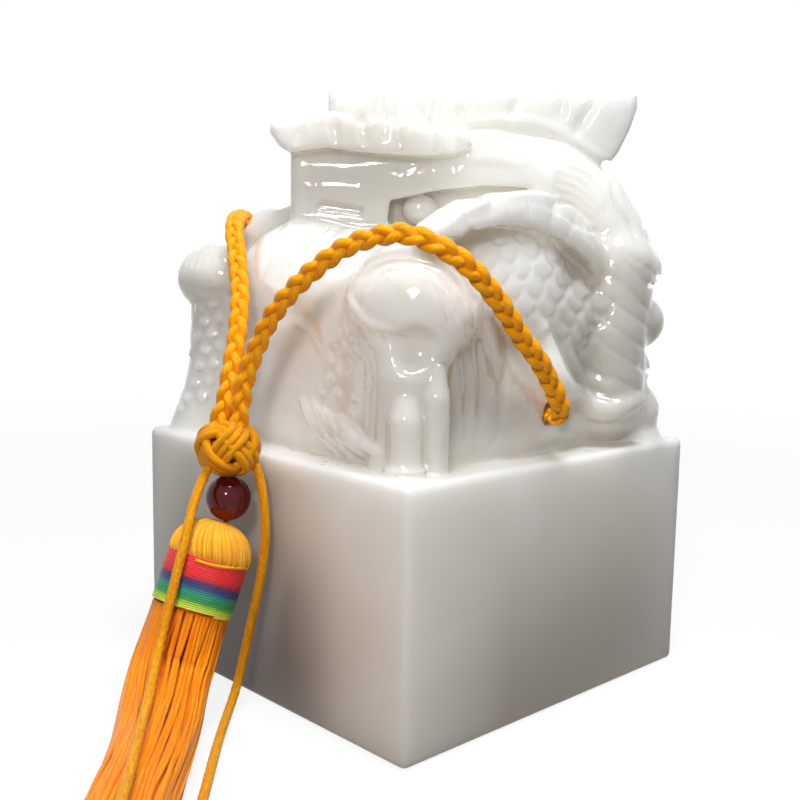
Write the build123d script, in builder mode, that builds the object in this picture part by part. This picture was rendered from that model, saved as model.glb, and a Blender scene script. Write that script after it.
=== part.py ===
from build123d import *
from math import cos, pi, radians, sin, sqrt, tan
import os

os.makedirs("parts", exist_ok=True)

# Jade seal stamp with a coiled dragon knob, a braided carrying loop, a bead and a silk tassel.
# Millimetres. The origin is the centre of the sealing face, +Z is up, the block's sides lie
# along X and Y, and the corner that faces the viewer is at +X, -Y.

# Driving sizes of the stone
block_width = 100.0
block_height = 60.0
block_corner_radius = 3.0
block_rim_radius = 1.6
carving_inset = 4.5
carving_height = 88.0
bore_diameter = 7.0
bore_height = 10.5

# Driving sizes of the braided loop and its knot
braid_diameter = 4.5
bore_rest_gap = 0.15
knot_length = 15.8
knot_diameter = 12.2
knot_stand_off = 9.0
knot_height = 2.0
leg_gap = 0.3
leg_sink = 1.2
cord_diameter = 2.2

# Driving sizes of the bead and the tassel
bead_diameter = 10.4
bead_cord_diameter = 1.6
bead_bore_clearance = 0.08
bead_gap = 0.25
tassel_lean = 22.6
head_length = 8.4
head_diameter = 18.6
head_crown_diameter = 9.0
head_bead_gap = 0.4
head_cord_sink = 1.5
neck_diameter = 17.5
band_length = 12.0
thread_diameter = 0.6
thread_gap = 0.42
thread_seat_gap = 0.05
skirt_diameter = 17.8
skirt_length = 90.0
skirt_seat_gap = 0.1
skirt_floor_gap = 0.3

# Sizes that follow
carving_half = block_width / 2 - carving_inset
bore_z = block_height + bore_height
braid_z = bore_z - bore_diameter / 2 + braid_diameter / 2 + bore_rest_gap
knot_radius = knot_diameter / 2
knot_centre = Vector(0, -block_width / 2 - knot_stand_off, block_height + knot_height)
bead_radius = bead_diameter / 2
bead_centre = knot_centre - Vector(0, 0, knot_radius + bead_gap + bead_radius)
up = Vector(0, 0, 1)
sideways = Vector(1, 1, 0).normalized()
tassel_way = Vector(0, -sin(radians(tassel_lean)), -cos(radians(tassel_lean)))
head_top = bead_centre + tassel_way * (bead_radius + head_bead_gap)
neck_top = head_top + tassel_way * head_length
neck_end = neck_top + tassel_way * band_length


def carved(x_share, y_share, z_share):
    """A point of the carving, from shares of its half width and of its height."""
    return Vector(
        carving_half * x_share,
        carving_half * y_share,
        block_height + carving_height * z_share,
    )


# Stone: the rock round the dragon's foot, and the body's core
rock_width_share = 0.923
rock_top_share = 0.50
rock_corner_radius = 10.0
rock_rim_radius = 9.0
core_width_share = 0.824
core_top_share = 0.591
core_corner_radius = 10.0
core_rim_radius = 9.0
carving_sink = 1.0

# Stone: upright limbs: the left column, the haunch's leg, two posts and the right column
limb_places_share = ((-0.82, -0.82), (0.76, -0.80), (0.870, -0.905), (0.949, -0.791), (0.870, 0.653))
limb_radii = (9.6, 7.8, 3.9, 2.9, 10.0)
limb_tops_share = (0.43, 0.36, 0.165, 0.25, 0.50)

# Stone: round masses: haunch, shoulders, rear masses, and the lumps of hair down the right side
mass_places_share = (
    (0.659, -0.670, 0.375),
    (-0.264, -0.593, 0.432),
    (0.176, -0.615, 0.432),
    (-0.681, 0.681, 0.364),
    (0.352, 0.659, 0.455),
    (0.870, 0.809, 0.477),
    (0.870, 0.809, 0.347),
    (0.870, 0.809, 0.182),
    (0.870, 0.809, 0.057),
)
mass_radii = (15.7, 17.2, 15.4, 15.5, 14.6, 8.3, 8.4, 7.5, 7.6)

# Stone: coils of the body on three sides, and the knob at the left, each a disc with a round rim
coil_places_share = (
    (0.725, -0.132, 0.409),
    (0.747, 0.352, 0.341),
    (-0.725, 0.044, 0.386),
    (0.0, 0.725, 0.386),
    (-0.791, -0.769, 0.449),
)
coil_axes = ((1, 0, 0), (1, 0, 0), (1, 0, 0), (0, 1, 0), (0, 0, 1))
coil_radii = (21.5, 17.0, 21.0, 20.5, 12.5)
coil_half_thicknesses = (10.4, 9.0, 10.4, 10.4, 9.3)
coil_rim_share = 0.94

# Stone: the outlines below lie on the diagonal plane that faces the viewer. The thick body
# crosses the top and bends down on the right
body_path_share = (
    (0.176, 0.705),
    (0.484, 0.733),
    (0.725, 0.716),
    (0.912, 0.653),
    (1.033, 0.5625),
    (1.066, 0.443),
)
body_radius = 12.4
tower_outline_share = (
    (-0.70, 0.45),
    (-0.70, 0.875),
    (0.44, 0.875),
    (0.747, 0.773),
    (0.791, 0.59),
    (0.44, 0.45),
)
tower_back_share = -0.352
tower_front_share = 0.308
tower_edge_radius = 3.0
shoulder_outline_share = (
    (-0.989, 0.45),
    (-0.989, 0.591),
    (-0.879, 0.636),
    (-0.66, 0.67),
    (-0.44, 0.67),
    (0.0, 0.591),
    (0.0, 0.45),
)
shoulder_back_share = -0.308
shoulder_front_share = 0.176
hollow_outline_share = (
    (-0.165, 0.62),
    (-0.154, 0.676),
    (0.088, 0.705),
    (0.352, 0.722),
    (0.593, 0.716),
    (0.527, 0.636),
    (0.176, 0.568),
    (-0.088, 0.59),
)
hollow_back_share = 0.198
hollow_front_share = 0.44

# Stone: the scalloped crest, the scalloped ledge before it, and the frill over each side's coil
crest_back_share = -0.198
crest_front_share = 0.055
crest_outline_share = (
    (1.165, 0.898),
    (1.055, 0.795),
    (0.879, 0.75),
    (-0.516, 0.75),
)
crest_left_share = -0.516
crest_right_share = 1.20
crest_top_share = 1.0
crest_lobes = 6
crest_lobe_rise = 1.0
ledge_back_share = 0.0
ledge_front_share = 0.407
ledge_outline_share = (
    (0.277, 0.827),
    (0.198, 0.80),
    (-0.692, 0.80),
    (-0.791, 0.85),
)
ledge_left_share = -0.791
ledge_right_share = 0.24
ledge_top_share = 0.905
ledge_lobes = 5
ledge_lobe_rise = 1.5
frill_back_share = 0.725
frill_front_share = 0.958
frill_tops_share = (
    (-0.835, 0.534),
    (-0.637, 0.636),
    (-0.44, 0.668),
    (-0.154, 0.691),
    (0.088, 0.68),
    (0.286, 0.636),
    (0.505, 0.534),
)
frill_foot_share = (
    (0.429, 0.517),
    (0.132, 0.575),
    (-0.198, 0.598),
    (-0.505, 0.552),
    (-0.769, 0.50),
)
frill_lobe_rise = 1.0
rear_frill_front_share = 0.835

diagonal = Plane(origin=(0, 0, 0), x_dir=(1, 1, 0), z_dir=(1, -1, 0))
rock_bottom = block_height - carving_sink
crest_top = block_height + carving_height * crest_top_share - crest_lobe_rise
ledge_top = block_height + carving_height * ledge_top_share - ledge_lobe_rise

with BuildPart() as block:
    with BuildSketch(Plane.XY):
        Rectangle(block_width, block_width)
    extrude(amount=block_height)
    fillet(block.edges().filter_by(Axis.Z), block_corner_radius)
    fillet(block.faces().sort_by(Axis.Z)[0].edges(), block_rim_radius)
    fillet(block.faces().sort_by(Axis.Z)[-1].edges(), block_rim_radius)

with BuildPart() as rock:
    with BuildSketch(Plane.XY.offset(rock_bottom)):
        Rectangle(2 * carving_half * rock_width_share, 2 * carving_half * rock_width_share)
    extrude(amount=carving_height * rock_top_share + carving_sink)
    fillet(rock.edges().filter_by(Axis.Z), rock_corner_radius)
    fillet(rock.faces().sort_by(Axis.Z)[-1].edges(), rock_rim_radius)

with BuildPart() as core:
    with BuildSketch(Plane.XY.offset(rock_bottom)):
        Rectangle(2 * carving_half * core_width_share, 2 * carving_half * core_width_share)
    extrude(amount=carving_height * core_top_share + carving_sink)
    fillet(core.edges().filter_by(Axis.Z), core_corner_radius)
    fillet(core.faces().sort_by(Axis.Z)[-1].edges(), core_rim_radius)

with BuildPart() as limbs:
    for (x_share, y_share), radius, top_share in zip(limb_places_share, limb_radii, limb_tops_share):
        with BuildSketch(Plane.XY.offset(rock_bottom)):
            with Locations((carving_half * x_share, carving_half * y_share)):
                Circle(radius)
        extrude(amount=carving_height * top_share + carving_sink)
    for place_share, radius in zip(mass_places_share, mass_radii):
        with Locations(carved(*place_share)):
            Sphere(radius)


def rounded_disc(place_share, axis, radius, half_thickness):
    """A thick disc with a full round rim, like one coil of the body. The axis is its own."""
    with BuildPart() as disc:
        with Locations(Plane(origin=carved(*place_share), z_dir=axis)):
            Cylinder(radius, 2 * half_thickness)
        fillet(disc.edges().filter_by(GeomType.CIRCLE), half_thickness * coil_rim_share)
    return disc.part


def on_diagonal(point_share):
    """A sketch point of the diagonal plane, from shares of the carving's half width and height."""
    return (carving_half * point_share[0], block_height + carving_height * point_share[1])


def slab(outline_share, back_share, front_share):
    """A slab of the given outline between two depths of the diagonal plane."""
    with BuildPart() as made:
        with BuildSketch(diagonal.offset(carving_half * back_share)):
            with BuildLine():
                Polyline(*[on_diagonal(point_share) for point_share in outline_share], close=True)
            make_face()
        extrude(amount=carving_half * (front_share - back_share))
    return made


with BuildPart() as body:
    with BuildLine(diagonal) as body_line:
        Spline(*[on_diagonal(point_share) for point_share in body_path_share])
    spine = body_line.wire()
    with BuildSketch(Plane(origin=spine @ 0, z_dir=spine % 0)):
        Circle(body_radius)
    sweep(path=spine)
    with Locations(spine @ 0, spine @ 1):
        Sphere(body_radius)

tower = slab(tower_outline_share, tower_back_share, tower_front_share)
with BuildPart() as tower_eased:
    add(tower.part)
    fillet(tower_eased.edges(), tower_edge_radius)
shoulder = slab(shoulder_outline_share, shoulder_back_share, shoulder_front_share)
with BuildPart() as shoulder_eased:
    add(shoulder.part)
    fillet(shoulder_eased.edges(), tower_edge_radius)
hollow = slab(hollow_outline_share, hollow_back_share, hollow_front_share)


def lobed_edge(points, rise):
    """Arcs from point to point along a sketch that bulge by rise."""
    for left, right in zip(points, points[1:]):
        side = Vector(left[1] - right[1], right[0] - left[0]).normalized() * rise
        ThreePointArc(left, (Vector(*left) + Vector(*right)) / 2 + side, right)


def even_lobes(left, right, height, lobes):
    """The points between lobes of a level edge, from left to right."""
    return [(left + (right - left) * lobe / lobes, height) for lobe in range(lobes + 1)]


def crested_slab(left_share, right_share, top, lobes, rise, outline_share, back_share, front_share):
    """A slab of the diagonal plane whose upper edge is a row of lobes."""
    lobe_ends = even_lobes(carving_half * left_share, carving_half * right_share, top, lobes)
    with BuildPart() as made:
        with BuildSketch(diagonal.offset(carving_half * back_share)):
            with BuildLine():
                lobed_edge(lobe_ends, rise)
                Polyline(lobe_ends[-1], *[on_diagonal(point_share) for point_share in outline_share], lobe_ends[0])
            make_face()
        extrude(amount=carving_half * (front_share - back_share))
    return made.part


crest = crested_slab(
    crest_left_share,
    crest_right_share,
    crest_top,
    crest_lobes,
    crest_lobe_rise,
    crest_outline_share,
    crest_back_share,
    crest_front_share,
)
ledge = crested_slab(
    ledge_left_share,
    ledge_right_share,
    ledge_top,
    ledge_lobes,
    ledge_lobe_rise,
    ledge_outline_share,
    ledge_back_share,
    ledge_front_share,
)


def frill(side, front_share):
    """The scalloped frill over a side's coil. Side is 1 for +X and -1 for -X."""
    plane = Plane(origin=(side * carving_half * frill_back_share, 0, 0), x_dir=(0, side, 0), z_dir=(side, 0, 0))
    tops = [on_diagonal(point_share) for point_share in frill_tops_share]
    feet = [on_diagonal(point_share) for point_share in frill_foot_share]
    with BuildPart() as made:
        with BuildSketch(plane):
            with BuildLine():
                lobed_edge(tops, frill_lobe_rise)
                Polyline(tops[-1], *feet, tops[0])
            make_face()
        extrude(amount=carving_half * (front_share - frill_back_share))
    return made.part


side_frill = frill(1, frill_front_share)
rear_frill = frill(-1, rear_frill_front_share)
coils = [
    rounded_disc(place_share, axis, radius, half_thickness)
    for place_share, axis, radius, half_thickness in zip(
        coil_places_share, coil_axes, coil_radii, coil_half_thicknesses
    )
]

with BuildPart() as seal_stone:
    for piece in (block, rock, core, limbs, body, tower_eased, shoulder_eased):
        add(piece.part)
    for coil in coils:
        add(coil)
    add(hollow.part, mode=Mode.SUBTRACT)
    for piece in (crest, ledge, side_frill, rear_frill):
        add(piece)
    with Locations(Plane(origin=(0, 0, bore_z), z_dir=(1, 0, 0))):
        Cylinder(bore_diameter / 2, 2 * block_width, mode=Mode.SUBTRACT)
seal_stone.part.label = "seal_stone"
export_step(seal_stone.part, "parts/seal_stone.step")


# Cords: a tube of straight runs joined by arcs as large as the runs allow
arc_run_share = 0.45


def cord_radii(points):
    """The radius at each inner point of a route."""
    radii = []
    for before, here, after in zip(points, points[1:], points[2:]):
        turn = radians((here - before).get_angle(after - here))
        run = min((here - before).length, (after - here).length)
        radii.append(arc_run_share * run / tan(turn / 2))
    return radii


def cord_tube(name, route, diameter):
    """Sweeps one cord along its route, writes it and prints its radii and its length."""
    points = [Vector(*point) for point in route]
    radii = cord_radii(points)
    with BuildPart() as tube:
        with BuildLine() as path:
            FilletPolyline(*points, radius=radii)
        spine = path.wire()
        with BuildSketch(Plane(origin=spine @ 0, z_dir=spine % 0)):
            Circle(diameter / 2)
        sweep(path=spine)
    tube.part.label = name
    export_step(tube.part, f"parts/{name}.step")
    section = pi * diameter**2 / 4
    print(name, "length", round(spine.length, 1), "radii", [round(radius, 1) for radius in radii])
    print(name, "volume over section times length", round(tube.part.volume / section / spine.length, 4))


with BuildPart() as loop_bore_run:
    with BuildSketch(Plane(origin=(-carving_half, 0, braid_z), z_dir=(1, 0, 0))):
        Circle(braid_diameter / 2)
    extrude(amount=2 * carving_half)
loop_bore_run.part.label = "loop_bore_run"
export_step(loop_bore_run.part, "parts/loop_bore_run.step")

leg_offset = sideways * (braid_diameter + leg_gap) / 2
leg_end = knot_centre + up * (knot_radius - leg_sink)

front_leg_route = [
    (carving_half, 0, braid_z),
    (54.2, 0, braid_z),
    (55.0, -8.0, 81.5),
    (54.5, -20.5, 94.5),
    (52.0, -35.0, 106.0),
    (43.0, -48.5, 112.5),
    (29.0, -55.5, 109.5),
    (16.0, -58.5, 98.5),
    (6.5, -58.5, 83.5),
    tuple(leg_end + leg_offset),
]
rear_leg_route = [
    (-carving_half, 0, braid_z),
    (-54.2, 0, braid_z),
    (-54.8, -4.4, 82.5),
    (-52.5, -12.5, 98.5),
    (-46.5, -23.5, 111.0),
    (-36.0, -35.0, 117.5),
    (-25.0, -45.0, 113.5),
    (-16.5, -52.5, 101.5),
    (-8.5, -57.5, 88.0),
    (-3.6, -60.4, 77.0),
    tuple(leg_end - leg_offset),
]
cord_tube("loop_front_leg", front_leg_route, braid_diameter)
cord_tube("loop_rear_leg", rear_leg_route, braid_diameter)

tail_left_route = [
    (-0.6, -64.4, 57.0),
    (0.9, -68.6, 51.7),
    (4.4, -73.3, 43.5),
    (5.8, -77.6, 32.5),
    (7.8, -82.2, 21.7),
    (15.5, -89.0, 15.4),
    (27.5, -98.3, 13.9),
    (40.5, -107.6, 13.4),
    (52.0, -117.0, 12.6),
]
tail_right_route = [
    (4.5, -53.8, 57.2),
    (6.7, -53.8, 50.6),
    (7.4, -53.8, 41.2),
    (6.0, -54.4, 31.0),
    (3.5, -55.3, 20.6),
    (2.1, -56.3, 12.6),
    (1.8, -58.0, 5.6),
    (5.2, -62.8, 1.8),
    (12.9, -70.0, 1.4),
    (21.6, -77.5, 1.5),
    (32.4, -86.6, 1.4),
    (43.8, -96.6, 1.5),
    (53.2, -107.2, 1.4),
]
cord_tube("tail_left", tail_left_route, cord_diameter)
cord_tube("tail_right", tail_right_route, cord_diameter)

# Button knot: a rounded barrel, the same all round its long axis, about which the tassel swings
with BuildPart() as button_knot:
    with BuildSketch(Plane(origin=knot_centre, x_dir=sideways, z_dir=(1, -1, 0))):
        Ellipse(knot_length / 2, knot_radius)
        with Locations((0, -knot_diameter / 2)):
            Rectangle(2 * knot_length, knot_diameter, mode=Mode.SUBTRACT)
    revolve(axis=Axis(knot_centre, sideways))
button_knot.part.label = "button_knot"
export_step(button_knot.part, "parts/button_knot.step")

# Bead, bored for the cord that it turns on
with BuildPart() as bead:
    with Locations(bead_centre):
        Sphere(bead_radius)
        Cylinder(bead_cord_diameter / 2 + bead_bore_clearance, 2 * bead_diameter, mode=Mode.SUBTRACT)
bead.part.label = "bead"
export_step(bead.part, "parts/bead.step")

# Cord that carries the tassel, from under the knot, through the bead, into the tassel's head
with BuildPart() as bead_cord:
    cord_top = knot_centre - up * (knot_radius + bead_gap)
    cord_reach = bead_diameter + head_bead_gap + head_cord_sink
    with BuildSketch(Plane(origin=cord_top, z_dir=(0, 0, -1))):
        Circle(bead_cord_diameter / 2)
    extrude(amount=cord_reach)
bead_cord.part.label = "bead_cord"
export_step(bead_cord.part, "parts/bead_cord.step")

# Tassel head and the neck under its band, turned about the tassel's own leaning axis
tassel_plane = Plane(origin=head_top, x_dir=(1, 0, 0), z_dir=tassel_way)
head_widest_share = 0.62
with BuildPart() as tassel_head:
    widest = Vector(head_diameter / 2, head_length * head_widest_share)
    crown = Vector(head_crown_diameter / 2, 0)
    neck_radius = neck_diameter / 2
    with BuildSketch(Plane(origin=head_top, x_dir=(1, 0, 0), z_dir=Vector(1, 0, 0).cross(tassel_way))):
        with BuildLine():
            Line((0, 0), crown)
            JernArc(crown, (1, 0), widest.X - crown.X, 90)
            Line((widest.X, widest.X - crown.X), widest)
            Spline(widest, (neck_radius, head_length), tangents=((0, 1), (0, 1)))
            Line((neck_radius, head_length), (neck_radius, head_length + band_length))
            Line((neck_radius, head_length + band_length), (0, head_length + band_length))
            Line((0, head_length + band_length), (0, 0))
        make_face()
    revolve(axis=Axis(head_top, tassel_way))
tassel_head.part.label = "tassel_head"
export_step(tassel_head.part, "parts/tassel_head.step")

# Colour threads: each winding is one helix about the neck, laid on biarcs of a quarter turn
winding_names = ("winding_red", "winding_violet", "winding_green", "winding_yellow")
winding_turns = (4, 1, 2, 1)
thread_pitch = thread_diameter + thread_gap
winding_radius = neck_radius + thread_seat_gap + thread_diameter / 2
quarter = pi / 2


def helix_point(turned, start_height):
    """A point of the thread after an angle turned, and the thread's direction there."""
    rise = thread_pitch / (2 * pi)
    across = tassel_plane.x_dir * cos(turned) + tassel_plane.y_dir * sin(turned)
    along = tassel_plane.y_dir * cos(turned) - tassel_plane.x_dir * sin(turned)
    height = start_height + rise * turned
    point = head_top + across * winding_radius + tassel_way * height
    return point, (along * winding_radius + tassel_way * rise).normalized()


def biarc_joint(start, start_way, end, end_way):
    """The point where two arcs meet that leave start and reach end in the given directions."""
    chord = end - start
    ways = start_way + end_way
    square = 4 - ways.dot(ways)
    lean = chord.dot(ways)
    reach = (sqrt(lean**2 + square * chord.dot(chord)) - lean) / square
    first = start + start_way * reach
    last = end - end_way * reach
    return (first + last) / 2, (last - first).normalized()


def wind_thread(name, turns, start_height):
    """Sweeps one winding, with a straight end of one thread's width at each end."""
    quarters = 4 * turns
    knots = [helix_point(quarter * number, start_height) for number in range(quarters + 1)]
    with BuildPart() as winding:
        with BuildLine() as path:
            Line(knots[0][0] - knots[0][1] * thread_diameter, knots[0][0])
            for (start, start_way), (end, end_way) in zip(knots, knots[1:]):
                joint, joint_way = biarc_joint(start, start_way, end, end_way)
                TangentArc(start, joint, tangent=start_way)
                TangentArc(joint, end, tangent=joint_way)
            Line(knots[-1][0], knots[-1][0] + knots[-1][1] * thread_diameter)
        spine = path.wire()
        with BuildSketch(Plane(origin=spine @ 0, z_dir=spine % 0)):
            Circle(thread_diameter / 2)
        sweep(path=spine)
    winding.part.label = name
    export_step(winding.part, f"parts/{name}.step")
    if turns > 1:
        near = min(
            (helix_point(quarter * number + 2 * pi, start_height)[0] - knots[number][0]).length
            for number in range(quarters - 3)
        )
        print(name, "least gap to itself", round(near - thread_diameter, 3))
    return start_height + thread_pitch * turns


thread_height = head_length + thread_seat_gap + thread_diameter / 2
for name, turns in zip(winding_names, winding_turns):
    thread_height = wind_thread(name, turns, thread_height) + thread_pitch
print("band ends", round(thread_height - thread_pitch + thread_diameter / 2, 2), "of", head_length + band_length)

# Skirt of silk floss: it hangs from the band, bends and lies on the table. Places are shares of
# the skirt's length across and of the band's height, then its width and height.
skirt_places_share = (
    (0.0, 0.0, 1.0, 1.0, 1.0),
    (0.0, -0.040, 0.66, 1.03, 1.01),
    (0.030, -0.088, 0.44, 1.0, 0.88),
    (0.139, -0.177, 0.0, 0.96, 0.74),
    (0.272, -0.286, 0.0, 0.95, 0.66),
    (0.387, -0.389, 0.0, 0.97, 0.64),
    (0.509, -0.495, 0.0, 1.0, 0.60),
    (0.614, -0.590, 0.0, 1.03, 0.53),
)
skirt_corner_share = 0.47
skirt_top = neck_end + tassel_way * skirt_seat_gap
skirt_centres = []
for x_share, y_share, z_share, width_share, height_share in skirt_places_share:
    rest_height = skirt_diameter * height_share / 2 + skirt_floor_gap
    skirt_centres.append(
        Vector(
            skirt_top.X + skirt_length * x_share,
            skirt_top.Y + skirt_length * y_share,
            max(skirt_top.Z * z_share, rest_height),
        )
    )
skirt_ways = [tassel_way]
for before, after in zip(skirt_centres, skirt_centres[2:]):
    skirt_ways.append((after - before).normalized())
skirt_ways.append(skirt_ways[-1])

with BuildPart() as tassel_skirt:
    for centre, way, place_share in zip(skirt_centres, skirt_ways, skirt_places_share):
        width = skirt_diameter * place_share[3]
        height = skirt_diameter * place_share[4]
        with BuildSketch(Plane(origin=centre, x_dir=up.cross(way), z_dir=way)):
            RectangleRounded(width, height, height * skirt_corner_share)
    loft()
tassel_skirt.part.label = "tassel_skirt"
export_step(tassel_skirt.part, "parts/tassel_skirt.step")
print("skirt", tassel_skirt.part.bounding_box())
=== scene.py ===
"""A pale jade seal with a carved coiling dragon, a plaited silk loop, a button knot, a bead and a tassel."""
from math import ceil, cos, pi, sin

import bpy
import bmesh
import numpy as np
from mathutils import Matrix, Vector


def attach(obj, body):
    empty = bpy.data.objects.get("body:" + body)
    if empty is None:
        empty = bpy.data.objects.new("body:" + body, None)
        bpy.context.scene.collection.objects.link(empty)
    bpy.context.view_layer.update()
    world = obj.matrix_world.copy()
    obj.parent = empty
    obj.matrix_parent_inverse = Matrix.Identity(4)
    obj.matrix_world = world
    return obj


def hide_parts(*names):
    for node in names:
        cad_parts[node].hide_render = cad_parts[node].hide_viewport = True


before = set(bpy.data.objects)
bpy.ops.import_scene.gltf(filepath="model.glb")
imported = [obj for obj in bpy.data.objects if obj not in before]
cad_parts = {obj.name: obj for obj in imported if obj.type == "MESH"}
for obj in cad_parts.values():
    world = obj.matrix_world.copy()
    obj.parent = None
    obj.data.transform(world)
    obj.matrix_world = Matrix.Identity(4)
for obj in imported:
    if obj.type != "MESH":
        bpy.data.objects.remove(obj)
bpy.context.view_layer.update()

MM = 0.001


# The photograph's camera. It stands about 280 mm from the seal's axis and looks down 7 degrees.
YAW, PITCH, ROLL = np.radians((46.575, 7.234, 1.007))
FOCAL = 1060.51
FRAME_WIDTH = 800
STAND = np.array([198.94, -193.845, 103.755])
ahead = np.array([-np.sin(YAW) * np.cos(PITCH), np.cos(YAW) * np.cos(PITCH), -np.sin(PITCH)])
level = np.array([np.cos(YAW), np.sin(YAW), 0.0])
over = np.cross(level, ahead)
rightward = np.cos(ROLL) * level + np.sin(ROLL) * over
upward = -np.sin(ROLL) * level + np.cos(ROLL) * over


def add_camera():
    """Puts the camera where the photograph was taken."""
    lens = bpy.data.cameras.new("camera")
    lens.sensor_width = 36
    lens.lens = FOCAL / FRAME_WIDTH * lens.sensor_width
    lens.clip_start = 0.01
    camera = bpy.data.objects.new("camera", lens)
    bpy.context.scene.collection.objects.link(camera)
    turn = Matrix((rightward, upward, -ahead)).transposed().to_4x4()
    camera.matrix_world = Matrix.Translation(Vector(STAND * MM)) @ turn
    bpy.context.scene.camera = camera


add_camera()


# Cord routes in millimetres: the model's own, with points moved to the picture's line.
FRONT_LEG = [(45.5, 0, 69.4), (49.5, -1, 69.9), (51, -4.5, 74), (51, -8, 79), (52, -13.5, 84),
             (51.5, -19.5, 89.5), (51.5, -25, 95.5), (51, -31.5, 101.5), (49, -37, 106),
             (45.5, -41.5, 109), (40, -45, 110.5), (33, -48, 109), (26.5, -50.5, 106),
             (19.5, -53, 100.5), (12.5, -54.5, 94.5), (7.5, -55, 88), (4, -56, 81), (2.5, -57, 74),
             (1.697, -57.303, 66.9)]
REAR_LEG = [(-45.5, 0, 69.4), (-54.2, 0, 69.4), (-54.5, -4, 82.5), (-50.5, -11, 98), (-45, -17, 108.5),
            (-40, -24.5, 114.5), (-33, -33.5, 116), (-24.5, -40.5, 112.5), (-17.5, -44.5, 106.5),
            (-11, -48, 99), (-6, -51.5, 91.5), (-3, -55, 84), (-1, -58, 76), (-1, -59.5, 71),
            (-1.697, -60.697, 66.9)]
TAIL_LEFT = [(-1.2, -62.4, 60), (-0.6, -64.4, 57), (0.9, -68.6, 51.7), (4.4, -73.3, 43.5),
             (5.8, -77.6, 32.5), (7.8, -82.2, 21.7), (15.5, -89, 15.4), (27.5, -98.3, 13.9),
             (40.5, -107.6, 13.4), (52, -117, 12.6)]
TAIL_RIGHT = [(3.6, -55.4, 60.2), (4.5, -53.8, 57.2), (6.7, -53.8, 50.6), (7.4, -53.8, 41.2),
              (6, -54.4, 31), (3.5, -55.3, 20.6), (2.1, -56.3, 12.6), (1.8, -58, 5.6),
              (5.2, -62.8, 1.8), (12.9, -70, 1.4), (21.6, -77.5, 1.5), (32.4, -86.6, 1.4),
              (43.8, -96.6, 1.5), (53.2, -107.2, 1.4)]
BORE_RUN = [(-45.5, 0, 69.4), (45.5, 0, 69.4)]


def keep(mesh, name):
    """Links a mesh as a piece whose object sits at the origin."""
    piece = bpy.data.objects.new(name, mesh)
    bpy.context.scene.collection.objects.link(piece)
    return piece


def spline_points(route, step=0.35):
    """Evenly spaced points in millimetres, read from the NURBS spline of a route."""
    curve = bpy.data.curves.new("route", "CURVE")
    curve.dimensions = "3D"
    curve.resolution_u = 32
    spline = curve.splines.new("NURBS")
    spline.points.add(len(route) - 1)
    for point, place in zip(spline.points, route):
        point.co = (place[0] * MM, place[1] * MM, place[2] * MM, 1)
    spline.order_u = min(3, len(route))
    spline.use_endpoint_u = True
    holder = bpy.data.objects.new("route", curve)
    bpy.context.scene.collection.objects.link(holder)
    mesh = bpy.data.meshes.new_from_object(holder)
    line = np.array([v.co for v in mesh.vertices]) / MM
    bpy.data.objects.remove(holder)
    bpy.data.meshes.remove(mesh)
    bpy.data.curves.remove(curve)
    return evenly(line, step)


def runs(line):
    """Distance along a line at each of its points."""
    return np.concatenate(([0], np.cumsum(np.linalg.norm(np.diff(line, axis=0), axis=1))))


def evenly(line, step):
    """The same line with points a step apart."""
    gaps = np.linalg.norm(np.diff(line, axis=0), axis=1)
    line = line[np.concatenate(([True], gaps > 1e-6))]
    run = runs(line)
    marks = np.linspace(0, run[-1], max(int(ceil(run[-1] / step)) + 1, 3))
    return np.stack([np.interp(marks, run, line[:, axis]) for axis in range(3)], 1)


def unit(ways):
    """Directions scaled to length one."""
    return ways / np.linalg.norm(ways, axis=1, keepdims=True)


def sideways(line, facing):
    """Directions across a line and out of it. Out leans towards facing."""
    along = unit(np.gradient(line, axis=0))
    out = np.broadcast_to(np.asarray(facing, float), line.shape)
    out = unit(out - along * (out * along).sum(1, keepdims=True))
    return np.cross(along, out), out


def carried(line):
    """Directions across a line and out of it, carried along without twist."""
    along = unit(np.gradient(line, axis=0))
    first = np.cross(along[0], (0.3, 0.2, 0.93))
    out = [first / np.linalg.norm(first)]
    for way in along[1:]:
        nxt = out[-1] - way * (out[-1] @ way)
        out.append(nxt / np.linalg.norm(nxt))
    out = np.array(out)
    return np.cross(along, out), out


def circle_angles(sides):
    """Angles of evenly spaced points round a circle."""
    return np.linspace(0, 2 * pi, sides, endpoint=False)


def colour(text):
    """Linear RGBA from an sRGB hex code."""
    parts = [int(text[i:i + 2], 16) / 255 for i in (1, 3, 5)]
    return [p / 12.92 if p <= 0.04045 else ((p + 0.055) / 1.055) ** 2.4 for p in parts] + [1.0]


def feed(node, inputs):
    """Sets a node's sockets: inputs maps a name or number to a value, or to the output that feeds it."""
    for key, value in inputs.items():
        socket = node.inputs[key]
        if isinstance(value, bpy.types.NodeSocket):
            node.id_data.links.new(value, socket)
        else:
            socket.default_value = value


def add(tree, kind, inputs=None, **settings):
    """Adds a node with its settings and inputs."""
    made = tree.nodes.new(kind)
    for name, value in settings.items():
        setattr(made, name, value)
    feed(made, inputs or {})
    return made


def set_stops(ramp, stops):
    """Gives a colour ramp its stops, each a position and a colour, first to last."""
    elements = ramp.color_ramp.elements
    for element, (position, shade) in zip(elements, (stops[0], stops[-1])):
        element.position = position
        element.color = shade
    for position, shade in stops[1:-1]:
        elements.new(position).color = shade


def material(name):
    """A new material, with its tree and its surface shader."""
    made = bpy.data.materials.new(name)
    made.use_nodes = True
    tree = made.node_tree
    shader = tree.nodes["Principled BSDF"]
    return made, tree, shader


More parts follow.
